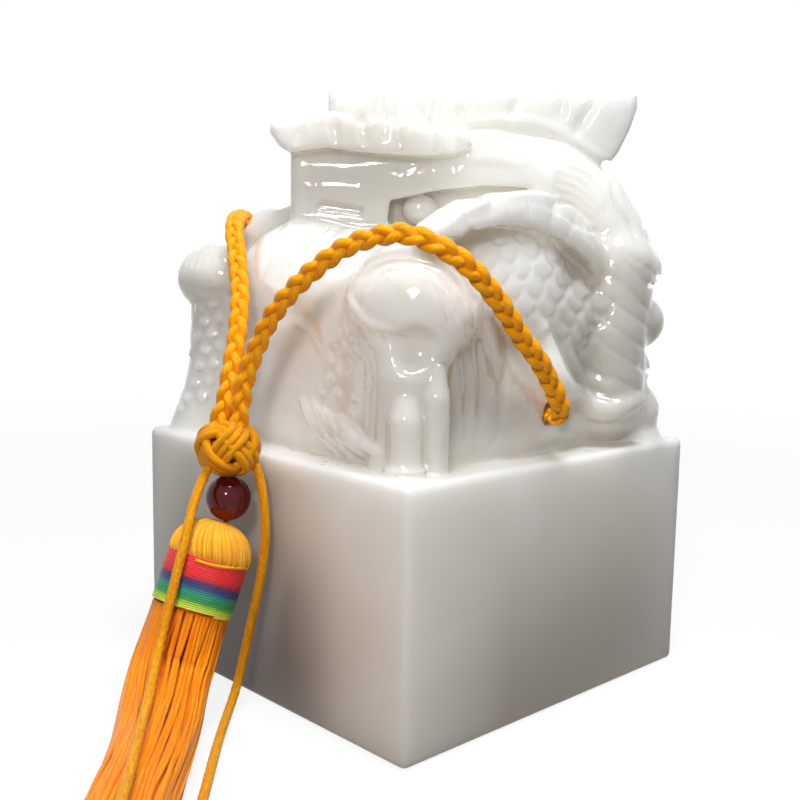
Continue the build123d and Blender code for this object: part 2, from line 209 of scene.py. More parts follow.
def tube_tree(name, finish):
    """A tree that skins curves with a soft ribbed profile and stores where each point is on its strand.

    Returns it with the identifiers of its named inputs.
    """
    tree = bpy.data.node_groups.new(name, "GeometryNodeTree")
    tree.interface.new_socket("Geometry", in_out="INPUT", socket_type="NodeSocketGeometry")
    names = {}
    for label in ("Half width", "Half thickness", "Sides", "Ribs", "Rib depth"):
        kind = "NodeSocketInt" if label == "Sides" else "NodeSocketFloat"
        names[label] = tree.interface.new_socket(label, in_out="INPUT", socket_type=kind).identifier
    tree.interface.new_socket("Geometry", in_out="OUTPUT", socket_type="NodeSocketGeometry")
    given = add(tree, "NodeGroupInput").outputs
    here = add(tree, "GeometryNodeSplineParameter").outputs
    number = add(tree, "GeometryNodeInputIndex").outputs[0]
    position = add(tree, "GeometryNodeInputPosition").outputs[0]
    circle = add(tree, "GeometryNodeCurvePrimitiveCircle",
                 {"Resolution": given["Sides"], "Radius": 1.0}).outputs["Curve"]
    circle = add(tree, "GeometryNodeStoreNamedAttribute",
                 {"Geometry": circle, "Name": "rim", "Value": position},
                 data_type="FLOAT_VECTOR", domain="POINT").outputs["Geometry"]
    strand = given["Geometry"]
    for label, value, domain in (("along", here["Length"], "POINT"), ("strand", number, "CURVE")):
        strand = add(tree, "GeometryNodeStoreNamedAttribute",
                     {"Geometry": strand, "Name": label, "Value": value},
                     data_type="FLOAT", domain=domain).outputs["Geometry"]
    angle = add(tree, "ShaderNodeMath", {0: here["Factor"], 1: given["Ribs"]}, operation="MULTIPLY").outputs[0]
    angle = add(tree, "ShaderNodeMath", {0: angle, 1: 2 * pi}, operation="MULTIPLY").outputs[0]
    wave = add(tree, "ShaderNodeMath", {0: angle}, operation="COSINE").outputs[0]
    swell = add(tree, "ShaderNodeMath", {0: wave, 1: given["Rib depth"], 2: 1.0},
                operation="MULTIPLY_ADD").outputs[0]
    halves = add(tree, "ShaderNodeCombineXYZ", {"X": given["Half width"], "Y": given["Half thickness"]})
    flat = add(tree, "ShaderNodeVectorMath", {0: position, 1: halves.outputs[0]},
               operation="MULTIPLY").outputs[0]
    flat = add(tree, "ShaderNodeVectorMath", {0: flat, "Scale": swell}, operation="SCALE").outputs[0]
    profile = add(tree, "GeometryNodeSetPosition", {"Geometry": circle, "Position": flat}).outputs[0]
    size = add(tree, "GeometryNodeInputRadius").outputs[0]
    skin = {"Curve": strand, "Profile Curve": profile, "Scale": size, "Fill Caps": True}
    skin = add(tree, "GeometryNodeCurveToMesh", skin).outputs["Mesh"]
    for kind in ("GeometryNodeSetShadeSmooth", "GeometryNodeRealizeInstances"):
        skin = add(tree, kind, {"Geometry": skin}).outputs["Geometry"]
    skin = add(tree, "GeometryNodeSetMaterial", {"Geometry": skin, "Material": finish}).outputs["Geometry"]
    add(tree, "NodeGroupOutput", {"Geometry": skin})
    return tree, names


def skin_strands(name, strands, tree_and_names, body, width, thick, sides=12, ribs=0.0, rib_depth=0.0):
    """Skins strands, each a line of points and its thickness factor or factors, as one mesh."""
    tree, names = tree_and_names
    curve = bpy.data.curves.new(name, "CURVE")
    curve.dimensions = "3D"
    curve.twist_mode = "MINIMUM"
    for line, factors in strands:
        spline = curve.splines.new("POLY")
        spline.points.add(len(line) - 1)
        flat = np.ones((len(line), 4))
        flat[:, :3] = np.asarray(line) * MM
        spline.points.foreach_set("co", flat.ravel())
        spline.points.foreach_set("radius", np.broadcast_to(np.asarray(factors, float), len(line)).copy())
    holder = bpy.data.objects.new(name, curve)
    bpy.context.scene.collection.objects.link(holder)
    skin = holder.modifiers.new("skin", "NODES")
    skin.node_group = tree
    for key, value in zip(names.values(), (width * MM, thick * MM, sides, float(ribs), rib_depth)):
        skin[key] = value
    graph = bpy.context.evaluated_depsgraph_get()
    mesh = bpy.data.meshes.new_from_object(holder.evaluated_get(graph), depsgraph=graph)
    mesh.name = name
    bpy.data.objects.remove(holder)
    bpy.data.curves.remove(curve)
    piece = keep(mesh, name)
    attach(piece, body)
    return piece


# The clay's field reaches this far, in millimetres, from its surface.
FAR = 4.0


class Clay:
    """A distance field in millimetres that masses are added to and grooves cut from."""

    def __init__(self, low, high, step):
        self.step = step
        self.low = np.array(low, np.float32)
        counts = [int(round((h - l) / step)) + 1 for l, h in zip(low, high)]
        self.axes = [np.float32(start) + np.arange(count, dtype=np.float32) * np.float32(step)
                     for start, count in zip(low, counts)]
        self.field = np.full(counts, FAR, np.float32)

    def window(self, low, high):
        """The part of the grid inside a box: its slices and its three coordinates."""
        slices = []
        for axis in range(3):
            first = int(np.floor((low[axis] - self.low[axis]) / self.step))
            last = int(np.ceil((high[axis] - self.low[axis]) / self.step)) + 1
            first = max(first, 0)
            last = min(last, len(self.axes[axis]))
            if first >= last:
                return None
            slices.append(slice(first, last))
        grids = np.meshgrid(*[a[s] for a, s in zip(self.axes, slices)], indexing="ij", sparse=True)
        return tuple(slices), grids

    def shape(self, distance, low, high, soft, cut):
        """Joins a shape to the field, or cuts it out, with a fillet of size soft."""
        reach = soft + FAR
        found = self.window([l - reach for l in low], [h + reach for h in high])
        if found is None:
            return
        slices, (x, y, z) = found
        other = distance(x, y, z).astype(np.float32)
        here = self.field[slices]
        if cut:
            here = -here
        gap = np.maximum(soft - np.abs(here - other), 0.0)
        joined = np.minimum(here, other) - gap * gap / (4 * soft)
        self.field[slices] = -joined if cut else joined

    def add(self, distance, low, high, soft=1.0):
        """Joins a shape to the clay."""
        self.shape(distance, low, high, soft, False)

    def cut(self, distance, low, high, soft=0.6):
        """Cuts a shape out of the clay."""
        self.shape(distance, low, high, soft, True)

    def sample(self, points):
        """The field at points, by trilinear interpolation."""
        place = (points - self.low) / self.step
        limit = np.array(self.field.shape) - 1.001
        place = np.clip(place, 0, limit)
        base = place.astype(int)
        part = (place - base).astype(np.float32)
        total = np.zeros(len(points), np.float32)
        for corner in range(8):
            step = np.array([corner & 1, corner >> 1 & 1, corner >> 2 & 1])
            weight = np.prod(np.where(step, part, 1 - part), axis=1)
            at = base + step
            total += weight * self.field[at[:, 0], at[:, 1], at[:, 2]]
        return total

    def slope(self, points, reach=1.0):
        """The outward direction of the field at points."""
        parts = []
        for axis in range(3):
            step = np.zeros(3)
            step[axis] = reach
            parts.append(self.sample(points + step) - self.sample(points - step))
        way = np.stack(parts, 1)
        return way / np.maximum(np.linalg.norm(way, axis=1, keepdims=True), 1e-6)


def ball(centre, radii, turn=0.0):
    """An ellipsoid with half axes radii, turned about Z by turn degrees."""
    c, s = np.cos(np.radians(turn)), np.sin(np.radians(turn))

    def distance(x, y, z):
        dx, dy, dz = x - centre[0], y - centre[1], z - centre[2]
        a, b = (c * dx + s * dy) / radii[0], (c * dy - s * dx) / radii[1]
        e = dz / radii[2]
        k = np.sqrt(a * a + b * b + e * e)
        g = np.sqrt((a / radii[0]) ** 2 + (b / radii[1]) ** 2 + (e / radii[2]) ** 2)
        return k * (k - 1) / np.maximum(g, 1e-4)

    reach = max(radii[:2])
    low = [centre[0] - reach, centre[1] - reach, centre[2] - radii[2]]
    high = [centre[0] + reach, centre[1] + reach, centre[2] + radii[2]]
    return distance, low, high


def rope(points, radii):
    """Tapered round runs through points."""
    points = np.asarray(points, float)
    radii = np.broadcast_to(np.asarray(radii, float), len(points))

    def distance(x, y, z):
        best = None
        for p, q, r, s in zip(points, points[1:], radii, radii[1:]):
            way = q - p
            t = ((x - p[0]) * way[0] + (y - p[1]) * way[1] + (z - p[2]) * way[2]) / (way @ way)
            t = np.clip(t, 0, 1)
            off = (x - p[0] - t * way[0]) ** 2 + (y - p[1] - t * way[1]) ** 2 + (z - p[2] - t * way[2]) ** 2
            d = np.sqrt(off) - (r + t * (s - r))
            best = d if best is None else np.minimum(best, d)
        return best

    top = max(radii)
    return distance, points.min(0) - top, points.max(0) + top


def box(centre, half, round_edge):
    """A box with rounded edges."""
    centre, half = np.asarray(centre, float), np.asarray(half, float)

    def distance(x, y, z):
        a = np.abs(x - centre[0]) - half[0] + round_edge
        b = np.abs(y - centre[1]) - half[1] + round_edge
        e = np.abs(z - centre[2]) - half[2] + round_edge
        out = np.sqrt(np.maximum(a, 0) ** 2 + np.maximum(b, 0) ** 2 + np.maximum(e, 0) ** 2)
        return out + np.minimum(np.maximum(np.maximum(a, b), e), 0) - round_edge

    return distance, centre - half, centre + half


def plate(outline, across, up, near, far, round_edge):
    """A flat plate: its outline along two directions, its faces at near and far along the third."""
    pts = np.asarray(outline, float)
    across, up = np.asarray(across, float), np.asarray(up, float)
    out_way = np.cross(across, up)

    def distance(x, y, z):
        a = x * across[0] + y * across[1] + z * across[2]
        b = x * up[0] + y * up[1] + z * up[2]
        best = None
        inside = None
        for (a0, b0), (a1, b1) in zip(pts, np.roll(pts, -1, 0)):
            ea, eb = a1 - a0, b1 - b0
            t = np.clip(((a - a0) * ea + (b - b0) * eb) / (ea * ea + eb * eb), 0, 1)
            d = np.sqrt((a - a0 - t * ea) ** 2 + (b - b0 - t * eb) ** 2)
            best = d if best is None else np.minimum(best, d)
            crosses = ((b0 > b) != (b1 > b)) & (a < (b - b0) * ea / (eb if eb else 1e-9) + a0)
            inside = crosses if inside is None else inside ^ crosses
        flat = np.where(inside, -best, best) + round_edge
        deep = np.abs(x * out_way[0] + y * out_way[1] + z * out_way[2] - (near + far) / 2)
        deep = deep - abs(far - near) / 2 + round_edge
        outer = np.sqrt(np.maximum(flat, 0) ** 2 + np.maximum(deep, 0) ** 2)
        return outer + np.minimum(np.maximum(flat, deep), 0) - round_edge

    corners = np.array([
        a * across + b * up + c * out_way
        for a in (pts[:, 0].min(), pts[:, 0].max())
        for b in (pts[:, 1].min(), pts[:, 1].max())
        for c in (near, far)
    ])
    return distance, corners.min(0), corners.max(0)


def flake(centre, ways, radii):
    """An ellipsoid with half axes radii along three given directions."""
    ways = np.asarray(ways, float)

    def distance(x, y, z):
        dx, dy, dz = x - centre[0], y - centre[1], z - centre[2]
        total = 0
        slope = 0
        for way, radius in zip(ways, radii):
            part = (dx * way[0] + dy * way[1] + dz * way[2]) / radius
            total = total + part * part
            slope = slope + (part / radius) ** 2
        k = np.sqrt(total)
        return k * (k - 1) / np.maximum(np.sqrt(slope), 1e-4)

    reach = max(radii)
    return distance, [c - reach for c in centre], [c + reach for c in centre]


def flow(points, steps=5):
    """A smooth line through points."""
    points = np.asarray(points, float)
    ends = np.vstack([2 * points[0] - points[1], points, 2 * points[-1] - points[-2]])
    line = []
    for a, b, c, d in zip(ends, ends[1:], ends[2:], ends[3:]):
        for t in np.linspace(0, 1, steps, endpoint=False):
            bend = (2 * a - 5 * b + 4 * c - d) * t * t
            line.append(0.5 * (2 * b + (c - a) * t + bend + (3 * b - a - 3 * c + d) * t ** 3))
    line.append(points[-1])
    return np.array(line)


class Eye:
    """Casts rays from the photo's camera, or from the same place half a turn round."""

    # A ray starts this far from the eye, in millimetres, and takes this many steps through the clay's field.
    NEAR = 190.0
    STEPS = 160

    def __init__(self, clay, turned=False):
        self.clay = clay
        self.sign = np.array([-1.0, -1.0, 1.0]) if turned else np.ones(3)

    def spots(self, pixels):
        """Where lines of sight through picture points meet the clay, and the clay's directions there."""
        off = (np.asarray(pixels, float) - FRAME_WIDTH / 2) / FOCAL
        rays = ahead + off[:, :1] * rightward - off[:, 1:] * upward
        rays = unit(rays) * self.sign
        start = STAND * self.sign
        travelled = np.full(len(rays), self.NEAR)
        for _ in range(self.STEPS):
            gap = self.clay.sample(start + rays * travelled[:, None])
            travelled += np.clip(gap * 0.9, -1.0, 3.0)
        points = start + rays * travelled[:, None]
        return points, self.clay.slope(points)

    def groove(self, pixels, radius=0.9, depth=0.6, soft=0.5):
        """Cuts a groove along a traced line, with ends that run out."""
        points, ways = self.spots(flow(pixels))
        fade = np.sin(np.linspace(0.25, np.pi - 0.25, len(points))) ** 0.6
        points = points + ways * (radius - depth * fade)[:, None]
        self.clay.cut(*rope(points, np.full(len(points), radius)), soft)

    def grooves(self, lines, *sizes):
        """Cuts a groove along each of several traced lines."""
        for pixels in lines:
            self.groove(pixels, *sizes)

    def strokes(self, lines, *sizes):
        """Cuts a groove between the two ends of each line."""
        self.grooves([((x, y), ((x + u) / 2, (y + v) / 2), (u, v)) for (x, y), (u, v) in lines], *sizes)

    def hems(self, pixels, half, *sizes):
        """Cuts the round lower edge of a scale about each traced point."""
        for x, y in pixels:
            self.groove([(x - half, y - 5), (x - 7, y + 4), (x, y + 9), (x + 7, y + 4), (x + half, y - 5)],
                        *sizes)

    def ridge(self, pixels, radius=1.5, lift=0.9, soft=0.6):
        """Raises a ridge along a traced line."""
        points, ways = self.spots(flow(pixels))
        fade = np.sin(np.linspace(0.3, np.pi - 0.3, len(points))) ** 0.6
        radii = radius * (0.35 + 0.65 * fade)
        points = points + ways * (lift * fade - radii)[:, None]
        self.clay.add(*rope(points, radii), soft)

    def bumps(self, pixels, radius=1.4, lift=0.7, soft=0.5):
        """Raises small round bumps at traced points."""
        points, ways = self.spots(pixels)
        for point, way in zip(points, ways):
            self.clay.add(*rope([point + way * (lift - radius), point + way * (lift - radius) * 1.01], radius),
                          soft)

    def scales(self, pixels, width=2.9, length=2.6, thick=0.9, tilt=0.30, lift=0.35):
        """Lays flat scales at traced points, their lower edges standing out."""
        points, ways = self.spots(pixels)
        for point, way in zip(points, ways):
            down = -upward * self.sign
            down = down - way * (down @ way)
            down /= np.linalg.norm(down)
            across = np.cross(way, down)
            leaf = down * np.cos(tilt) + way * np.sin(tilt)
            face = np.cross(across, leaf)
            self.clay.add(*flake(point + way * lift, (across, leaf, face), (width, length, thick)), 0.25)


ROOT = np.sqrt(0.5)
SIDE = (ROOT, ROOT, 0)
UP = (0, 0, 1)


def at(u, v, z):
    """A point in millimetres: u along the picture's width, v towards the camera, z up."""
    return np.array([(u + v) * ROOT, (u - v) * ROOT, z])


def masses(clay):
    """Builds the block's top and the dragon's large forms."""
    clay.add(*box((0, 0, 30), (50, 50, 30), 1.6), 0.2)
    # core with upright walls
    clay.add(*box((0, 0, 80), (42.0, 42.0, 24), 10), 2.0)
    clay.add(*box((0, 2, 90), (37.5, 37.5, 22), 10), 3.0)
    # left knob and column
    clay.add(*rope([(-40.5, -40, 60), (-38.0, -38, 68), (-35.5, -35.5, 77), (-34.5, -34.5, 98)],
                   [8.0, 8.0, 9.5, 10.0]), 1.5)
    clay.add(*ball((-36.0, -35, 99.5), (12.5, 12.5, 9.5)), 0.8)
    # left shoulder, under the mane
    clay.add(*ball((-12, -27, 98), (20, 16, 16.5)), 2.5)
    clay.add(*ball((6, -27, 97), (16, 15, 14.0)), 2.5)
    # front corner: haunch and posts
    clay.add(*ball((30.5, -31.0, 94), (16.0, 14.6, 15.4)), 1.2)
    clay.add(*rope([(34, -37, 62), (35, -36, 80), (33, -34, 92)], [7.0, 8.0, 9.0]), 2.0)
    clay.add(*rope([(39.6, -41.2, 60), (39.6, -41.2, 71), (38.8, -40.4, 74)], [3.9, 3.8, 3.4]), 0.4)
    clay.add(*rope([(43.2, -36.0, 60), (43.4, -36.0, 76), (42.6, -35.0, 82)], [2.9, 2.9, 1.8]), 0.4)
    clay.add(*ball((39.6, -41.2, 61), (4.8, 4.8, 1.5)), 0.5)
    # scaled arch on the right face
    clay.add(*ball((33, -6, 96), (11.0, 25, 18)), 2.0)
    clay.add(*ball((34, 16, 90), (9.5, 18, 16)), 2.5)
    # swelling round the bore's mouth, and a low lump left of the tower
    clay.add(*ball((36.6, -2, 74), (9.6, 17, 14)), 3.0)
    clay.add(*ball(at(-38.5, 1, 112.5), (5.5, 5.5, 5.0)), 2.0)
    # right back corner: lumps that step down the outline
    for u, z, r, tall in ((54.2, 104.0, 8.2, 6.4), (55.2, 90.5, 8.4, 7.4), (53.4, 78.5, 7.2, 6.0),
                          (55.6, 67.5, 7.8, 7.5), (56.4, 61.0, 7.2, 3.5)):
        clay.add(*ball(at(u, 2, z), (r, r, tall)), 3.2)
    clay.add(*rope([at(50, 6, 104), at(48, 8, 88), at(48, 8, 70)], [10, 10, 10]), 2.0)
    # thick body across the top, bending down on the right
    top = [at(8, 0, 122), at(22, 0, 124.5), at(33, 0, 123), at(41.5, 0, 117.5), at(47, 0, 109.5),
           at(48.5, 0, 99)]
    clay.add(*rope(top, [12, 12.5, 12.6, 12.5, 12.2, 11.0]), 2.0)
    tower = [(-31.8, 100), (-31.8, 137), (20, 137), (34, 128), (36, 112), (20, 100)]
    clay.add(*plate(tower, SIDE, UP, -16, 14, 3.0), 2.0)
    shoulder = [(-45, 100), (-45, 112), (-40, 116), (-30, 119), (-20, 119), (0, 112), (0, 100)]
    clay.add(*plate(shoulder, SIDE, UP, -14, 8, 3.0), 2.0)
    ledge = [(-36.0, 137.2), (-36.0, 134.8), (-33.8, 131.8), (-31.5, 130.4), (-22, 131.6), (-12, 130.4),
             (0, 129.8), (9, 130.6), (12.6, 132.8), (11.6, 135.6), (7.5, 136.8), (3.5, 137.6), (-4, 138.4),
             (-10.5, 139.0), (-13.2, 138.0), (-17, 139.2), (-21, 140.4), (-27, 138.4), (-33.4, 137.6)]
    clay.add(*plate(ledge, SIDE, UP, 0, 18.5, 1.2), 0.6)
    crest = [(-23.5, 128), (-23.5, 147.4), (-14, 148), (0, 147.6), (12, 147.2), (30, 147.4), (45, 147.0),
             (54.4, 147.8), (54.6, 144.5), (53, 139), (50.2, 133), (48, 130), (40, 126), (20, 126)]
    clay.add(*plate(crest, SIDE, UP, -9, 2.5, 0.9), 0.8)
    # frill over the arch: its scalloped outer edge, then its inner edge back
    frill = [(-37.0, 109.5), (-34.8, 112.6), (-28.8, 116), (-23.5, 118.3), (-20.3, 118.8), (-19.4, 117.4),
             (-16.8, 119.0), (-13, 120.3), (-6.8, 121.1), (-1, 121.2), (3.0, 120.4), (4.0, 119.2),
             (8.0, 118.6), (12.5, 116.8), (13.5, 115.6), (17.6, 113.0), (22.0, 109.2), (24.5, 104.5),
             (25.0, 98.0), (21.0, 97.0), (19.0, 102.5), (13.8, 106.8), (6, 110.2), (-2, 112.0), (-9, 113.0),
             (-16, 112.8), (-22, 111.8), (-29, 109.8)]
    clay.add(*plate(frill, (0, 1, 0), UP, 34, 43.4, 1.6), 0.8)
    clay.add(*ball((33.2, -4, 103.0), (9.2, 21, 11.2)), 2.0)
    # the back is unseen: the same kinds of forms, half a turn round
    clay.add(*ball((-31, 31, 92), (15.5, 15.5, 15.5)), 1.5)
    clay.add(*ball((-33, 2, 94), (11.0, 24, 18)), 2.0)
    clay.add(*ball((0, 33, 94), (24, 11.0, 17)), 2.0)
    clay.add(*ball((16, 30, 100), (16, 14, 14)), 2.0)
    clay.add(*plate([(-y, z) for y, z in frill], (0, 1, 0), UP, -38.0, -32.0, 1.6), 0.8)


# Traced lines in pixels of the picture. The crest's and the ledge's upright facets:
CREST_FACETS = (((381, 92), (377, 116)), ((404, 90), (398, 114)), ((415, 91), (420, 118)),
                ((438, 92), (436, 120)), ((464, 95), (461, 122)), ((522, 97), (509, 113)),
                ((562, 99), (561, 118)), ((597, 99), (575, 132)))
LEDGE_FACETS = (((300, 124), (296, 142)), ((332, 114), (336, 140)), ((361, 116), (364, 141)),
                ((386, 116), (384, 136)), ((397, 118), (400, 152)), ((430, 122), (436, 154)),
                ((449, 128), (458, 150)))
# The rows of scales under the frill:
SCALE_ROWS = (
    ((478, 246), (500, 234), (522, 231), (545, 235), (566, 245), (585, 258)),
    ((488, 262), (510, 255), (533, 251), (556, 255), (576, 266), (594, 279)),
    ((482, 280), (502, 276), (523, 271), (546, 272), (567, 280), (586, 292), (602, 306)),
    ((494, 296), (514, 292), (536, 290), (558, 294), (578, 304), (596, 317)),
    ((508, 312), (528, 309), (549, 310), (570, 317), (588, 329)),
    ((522, 328), (543, 328), (563, 332), (582, 342)),
)
# The curved fur round the haunch's crown, and the claw limb by the bore:
HAUNCH_FUR = (((357, 268), (378, 256), (405, 252), (430, 258)),
              ((362, 277), (384, 263), (410, 260), (436, 268)),
              ((438, 262), (456, 280), (466, 306)), ((434, 272), (450, 288), (460, 314)),
              ((428, 280), (443, 296), (452, 322)), ((366, 288), (382, 272), (402, 268)),
              ((446, 258), (464, 276), (474, 302)))
CLAW_LIMB = ((543, 330), (552, 355), (563, 382), (583, 402), (610, 411), (640, 401))


def front_details(clay):
    """Traces the carving's detail on the side that the picture shows."""
    eye = Eye(clay)
    # hollow behind the frill, with a lobe in it
    hollow = [(-7.5, 114.5), (-7.0, 119.5), (4, 122.0), (16, 123.5), (27, 123.0), (24, 116), (8, 110),
              (-4, 112)]
    clay.cut(*plate(hollow, SIDE, UP, 9, 20, 1.6), 1.0)
    clay.add(*ball(at(0.5, 10.0, 117.5), (4.6, 3.6, 3.8), 45), 0.5)
    # slit under the wall
    slit = [(-25.0, 117.2), (-24.6, 119.4), (-13.5, 117.8), (-13.8, 115.8)]
    clay.cut(*plate(slit, SIDE, UP, 12.9, 20, 0.8), 0.8)
    # wall: fine level lines
    eye.groove([(298, 182), (330, 181), (372, 183)], 0.8, 0.15)
    eye.groove([(388, 173), (420, 168), (470, 166), (505, 168)], 0.9, 0.22)
    eye.groove([(300, 160), (350, 162), (400, 158), (470, 160)], 1.2, 0.12)
    eye.ridge([(468, 158), (495, 160), (520, 164)], 1.2, 0.4)
    eye.ridge([(470, 121), (500, 119), (530, 121), (556, 129), (580, 142), (604, 160)], 1.6, 0.8)
    eye.groove([(480, 146), (510, 143), (540, 147), (570, 160)], 1.3, 0.6)
    # crest and ledge: upright facets
    eye.strokes(CREST_FACETS, 1.8, 1.15)
    eye.strokes(LEDGE_FACETS, 1.6, 0.95)
    # fur strokes inside the bend
    for shift in range(6):
        x, y = -2.0 * shift, 8.5 * shift
        eye.groove([(562 + x, 166 + y), (580 + x, 171 + y), (596 + x, 183 + y),
                    (607 + 0.2 * x, 203 + 0.75 * y)], 1.1, 1.0)
    eye.groove([(613, 182), (618, 205), (632, 228), (640, 245)], 1.4, 1.0)
    eye.groove([(600, 160), (622, 182), (640, 210), (646, 236)], 1.3, 0.9)
    # frill: a raised outer rim and soft folds
    eye.groove([(445, 236), (470, 218), (492, 210), (515, 201), (545, 203), (572, 217), (594, 244)], 1.6, 0.5)
    eye.strokes((((462, 214), (470, 236)), ((489, 203), (494, 224)), ((530, 195), (532, 216)),
                 ((556, 204), (552, 226)), ((578, 214), (570, 236))), 1.1, 0.5)
    for row in SCALE_ROWS:
        eye.hems(row, 9, 0.75, 0.55)
    # streaming hair on the right
    eye.grooves((
        ((598, 250), (625, 262), (654, 292)), ((594, 268), (622, 284), (652, 314)),
        ((592, 288), (620, 306), (654, 332)), ((590, 308), (616, 328), (652, 354)),
        ((588, 326), (612, 350), (654, 376)), ((582, 342), (606, 372), (650, 396)),
        ((612, 250), (640, 262), (660, 280)),
    ), 0.7, 0.22, 0.4)
    # curved claw limb by the bore, and the folds beside it
    eye.ridge(CLAW_LIMB, 3.6, 2.2, 1.0)
    eye.groove([(560, 340), (572, 366), (588, 388), (614, 397)], 1.3, 0.8)
    eye.groove([(575, 345), (590, 368), (610, 380)], 1.1, 0.6)
    # haunch: curved fur round its crown
    eye.grooves(HAUNCH_FUR, 1.0, 1.0)
    # long folds right of the haunch
    eye.grooves((
        ((462, 306), (476, 345), (481, 395), (478, 450)), ((452, 322), (465, 358), (468, 405), (463, 446)),
        ((490, 320), (502, 360), (501, 400), (496, 440)),
    ), 1.6, 0.55, 1.0)
    # hollow between the haunch and the posts, horn, rings and claws
    clay.cut(*ball((43.0, -43.0, 86.5), (6.0, 7.0, 5.5)), 1.5)
    eye.ridge([(348, 296), (356, 310), (366, 321), (378, 328), (392, 332)], 1.5, 0.9, 0.4)
    eye.groove([(352, 296), (364, 309), (376, 318), (392, 325)], 0.8, 0.6)
    eye.grooves((((375, 326), (380, 340), (388, 345)), ((383, 330), (390, 341), (398, 344)),
                 ((392, 331), (400, 339), (407, 340))), 0.8, 0.8)
    eye.bumps([(331, 378), (356, 398), (337, 394), (352, 412), (322, 392), (372, 344)], 1.2, 0.6)
    for x, y, r in ((366, 384, 7), (345, 366, 5), (352, 342, 6), (334, 352, 4)):
        turns = np.linspace(0, 2 * np.pi, 9)
        eye.groove([(x + r * np.cos(a), y + r * np.sin(a)) for a in turns], 0.7, 0.5)
    for line in (((303, 402), (316, 424), (338, 452)), ((314, 404), (330, 428), (350, 455)),
                 ((325, 410), (343, 434), (364, 454)), ((338, 418), (356, 438), (378, 453))):
        eye.ridge(line, 2.1, 1.5, 0.3)
    eye.ridge([(276, 340), (284, 330), (296, 326), (306, 330)], 3.4, 0.9, 1.2)
    # mane on the shoulder
    for shift in range(7):
        x = 8.0 * shift
        eye.groove([(282 + x, 226 + 0.2 * x), (270 + 0.8 * x, 246 + 0.3 * x), (262 + 0.7 * x, 276 + 0.3 * x)],
                   1.1, 1.2)
    eye.ridge([(336, 226), (318, 248), (300, 278)], 1.6, 0.9, 0.3)
    # knob: short grooves over its top, and small scales on the column
    for shift in range(7):
        x = 8.5 * shift
        eye.groove([(184 + x, 268 - 0.35 * x), (190 + 0.9 * x, 256 - 0.3 * x), (200 + 0.8 * x, 247 - 0.2 * x)],
                   1.0, 1.0)
    eye.groove([(180, 281), (205, 291), (228, 290)], 1.2, 0.8)
    eye.scales([(199, 308), (212, 304), (205, 322), (219, 318), (198, 336), (212, 334), (192, 352), (206, 350),
                (220, 346), (186, 368), (200, 366), (214, 364), (182, 384), (196, 383), (210, 381), (188, 398),
                (203, 397), (180, 408)], 1.6, 1.5, 0.6, 0.3, 0.15)


def rear_details(clay):
    """Gives the unseen back the same kinds of detail, traced as if the picture were taken from behind."""
    rear = Eye(clay, turned=True)
    for row in SCALE_ROWS:
        rear.hems(row, 9, 0.75, 0.55)
    rear.grooves((
        ((600, 270), (625, 266), (650, 270)), ((606, 294), (634, 296), (655, 301)),
        ((602, 320), (632, 328), (658, 331)), ((590, 348), (622, 357), (652, 360)), *HAUNCH_FUR[:3],
        ((462, 306), (476, 345), (481, 395), (478, 462)), ((452, 322), (465, 358), (468, 405), (463, 462)),
        ((282, 226), (268, 250), (258, 290)), ((300, 230), (286, 256), (274, 300)),
        ((318, 234), (304, 262), (292, 310)), ((200, 300), (215, 340), (210, 400)),
        ((230, 300), (240, 340), (236, 400)),
    ), 1.2, 0.8)
    # Seen from behind, the crest lies mirrored: column x of the picture becomes this total less x.
    mirror = 816
    rear.grooves([[(mirror - x, y) for x, y in line] for line in CREST_FACETS], 1.3, 0.5)
    for row in range(4):
        rear.hems([(x, 152 + 16 * row) for x in range(285 + 10 * (row % 2), 520, 21)], 10, 0.8, 0.45)
    rear.ridge(CLAW_LIMB, 3.4, 2.0, 1.0)


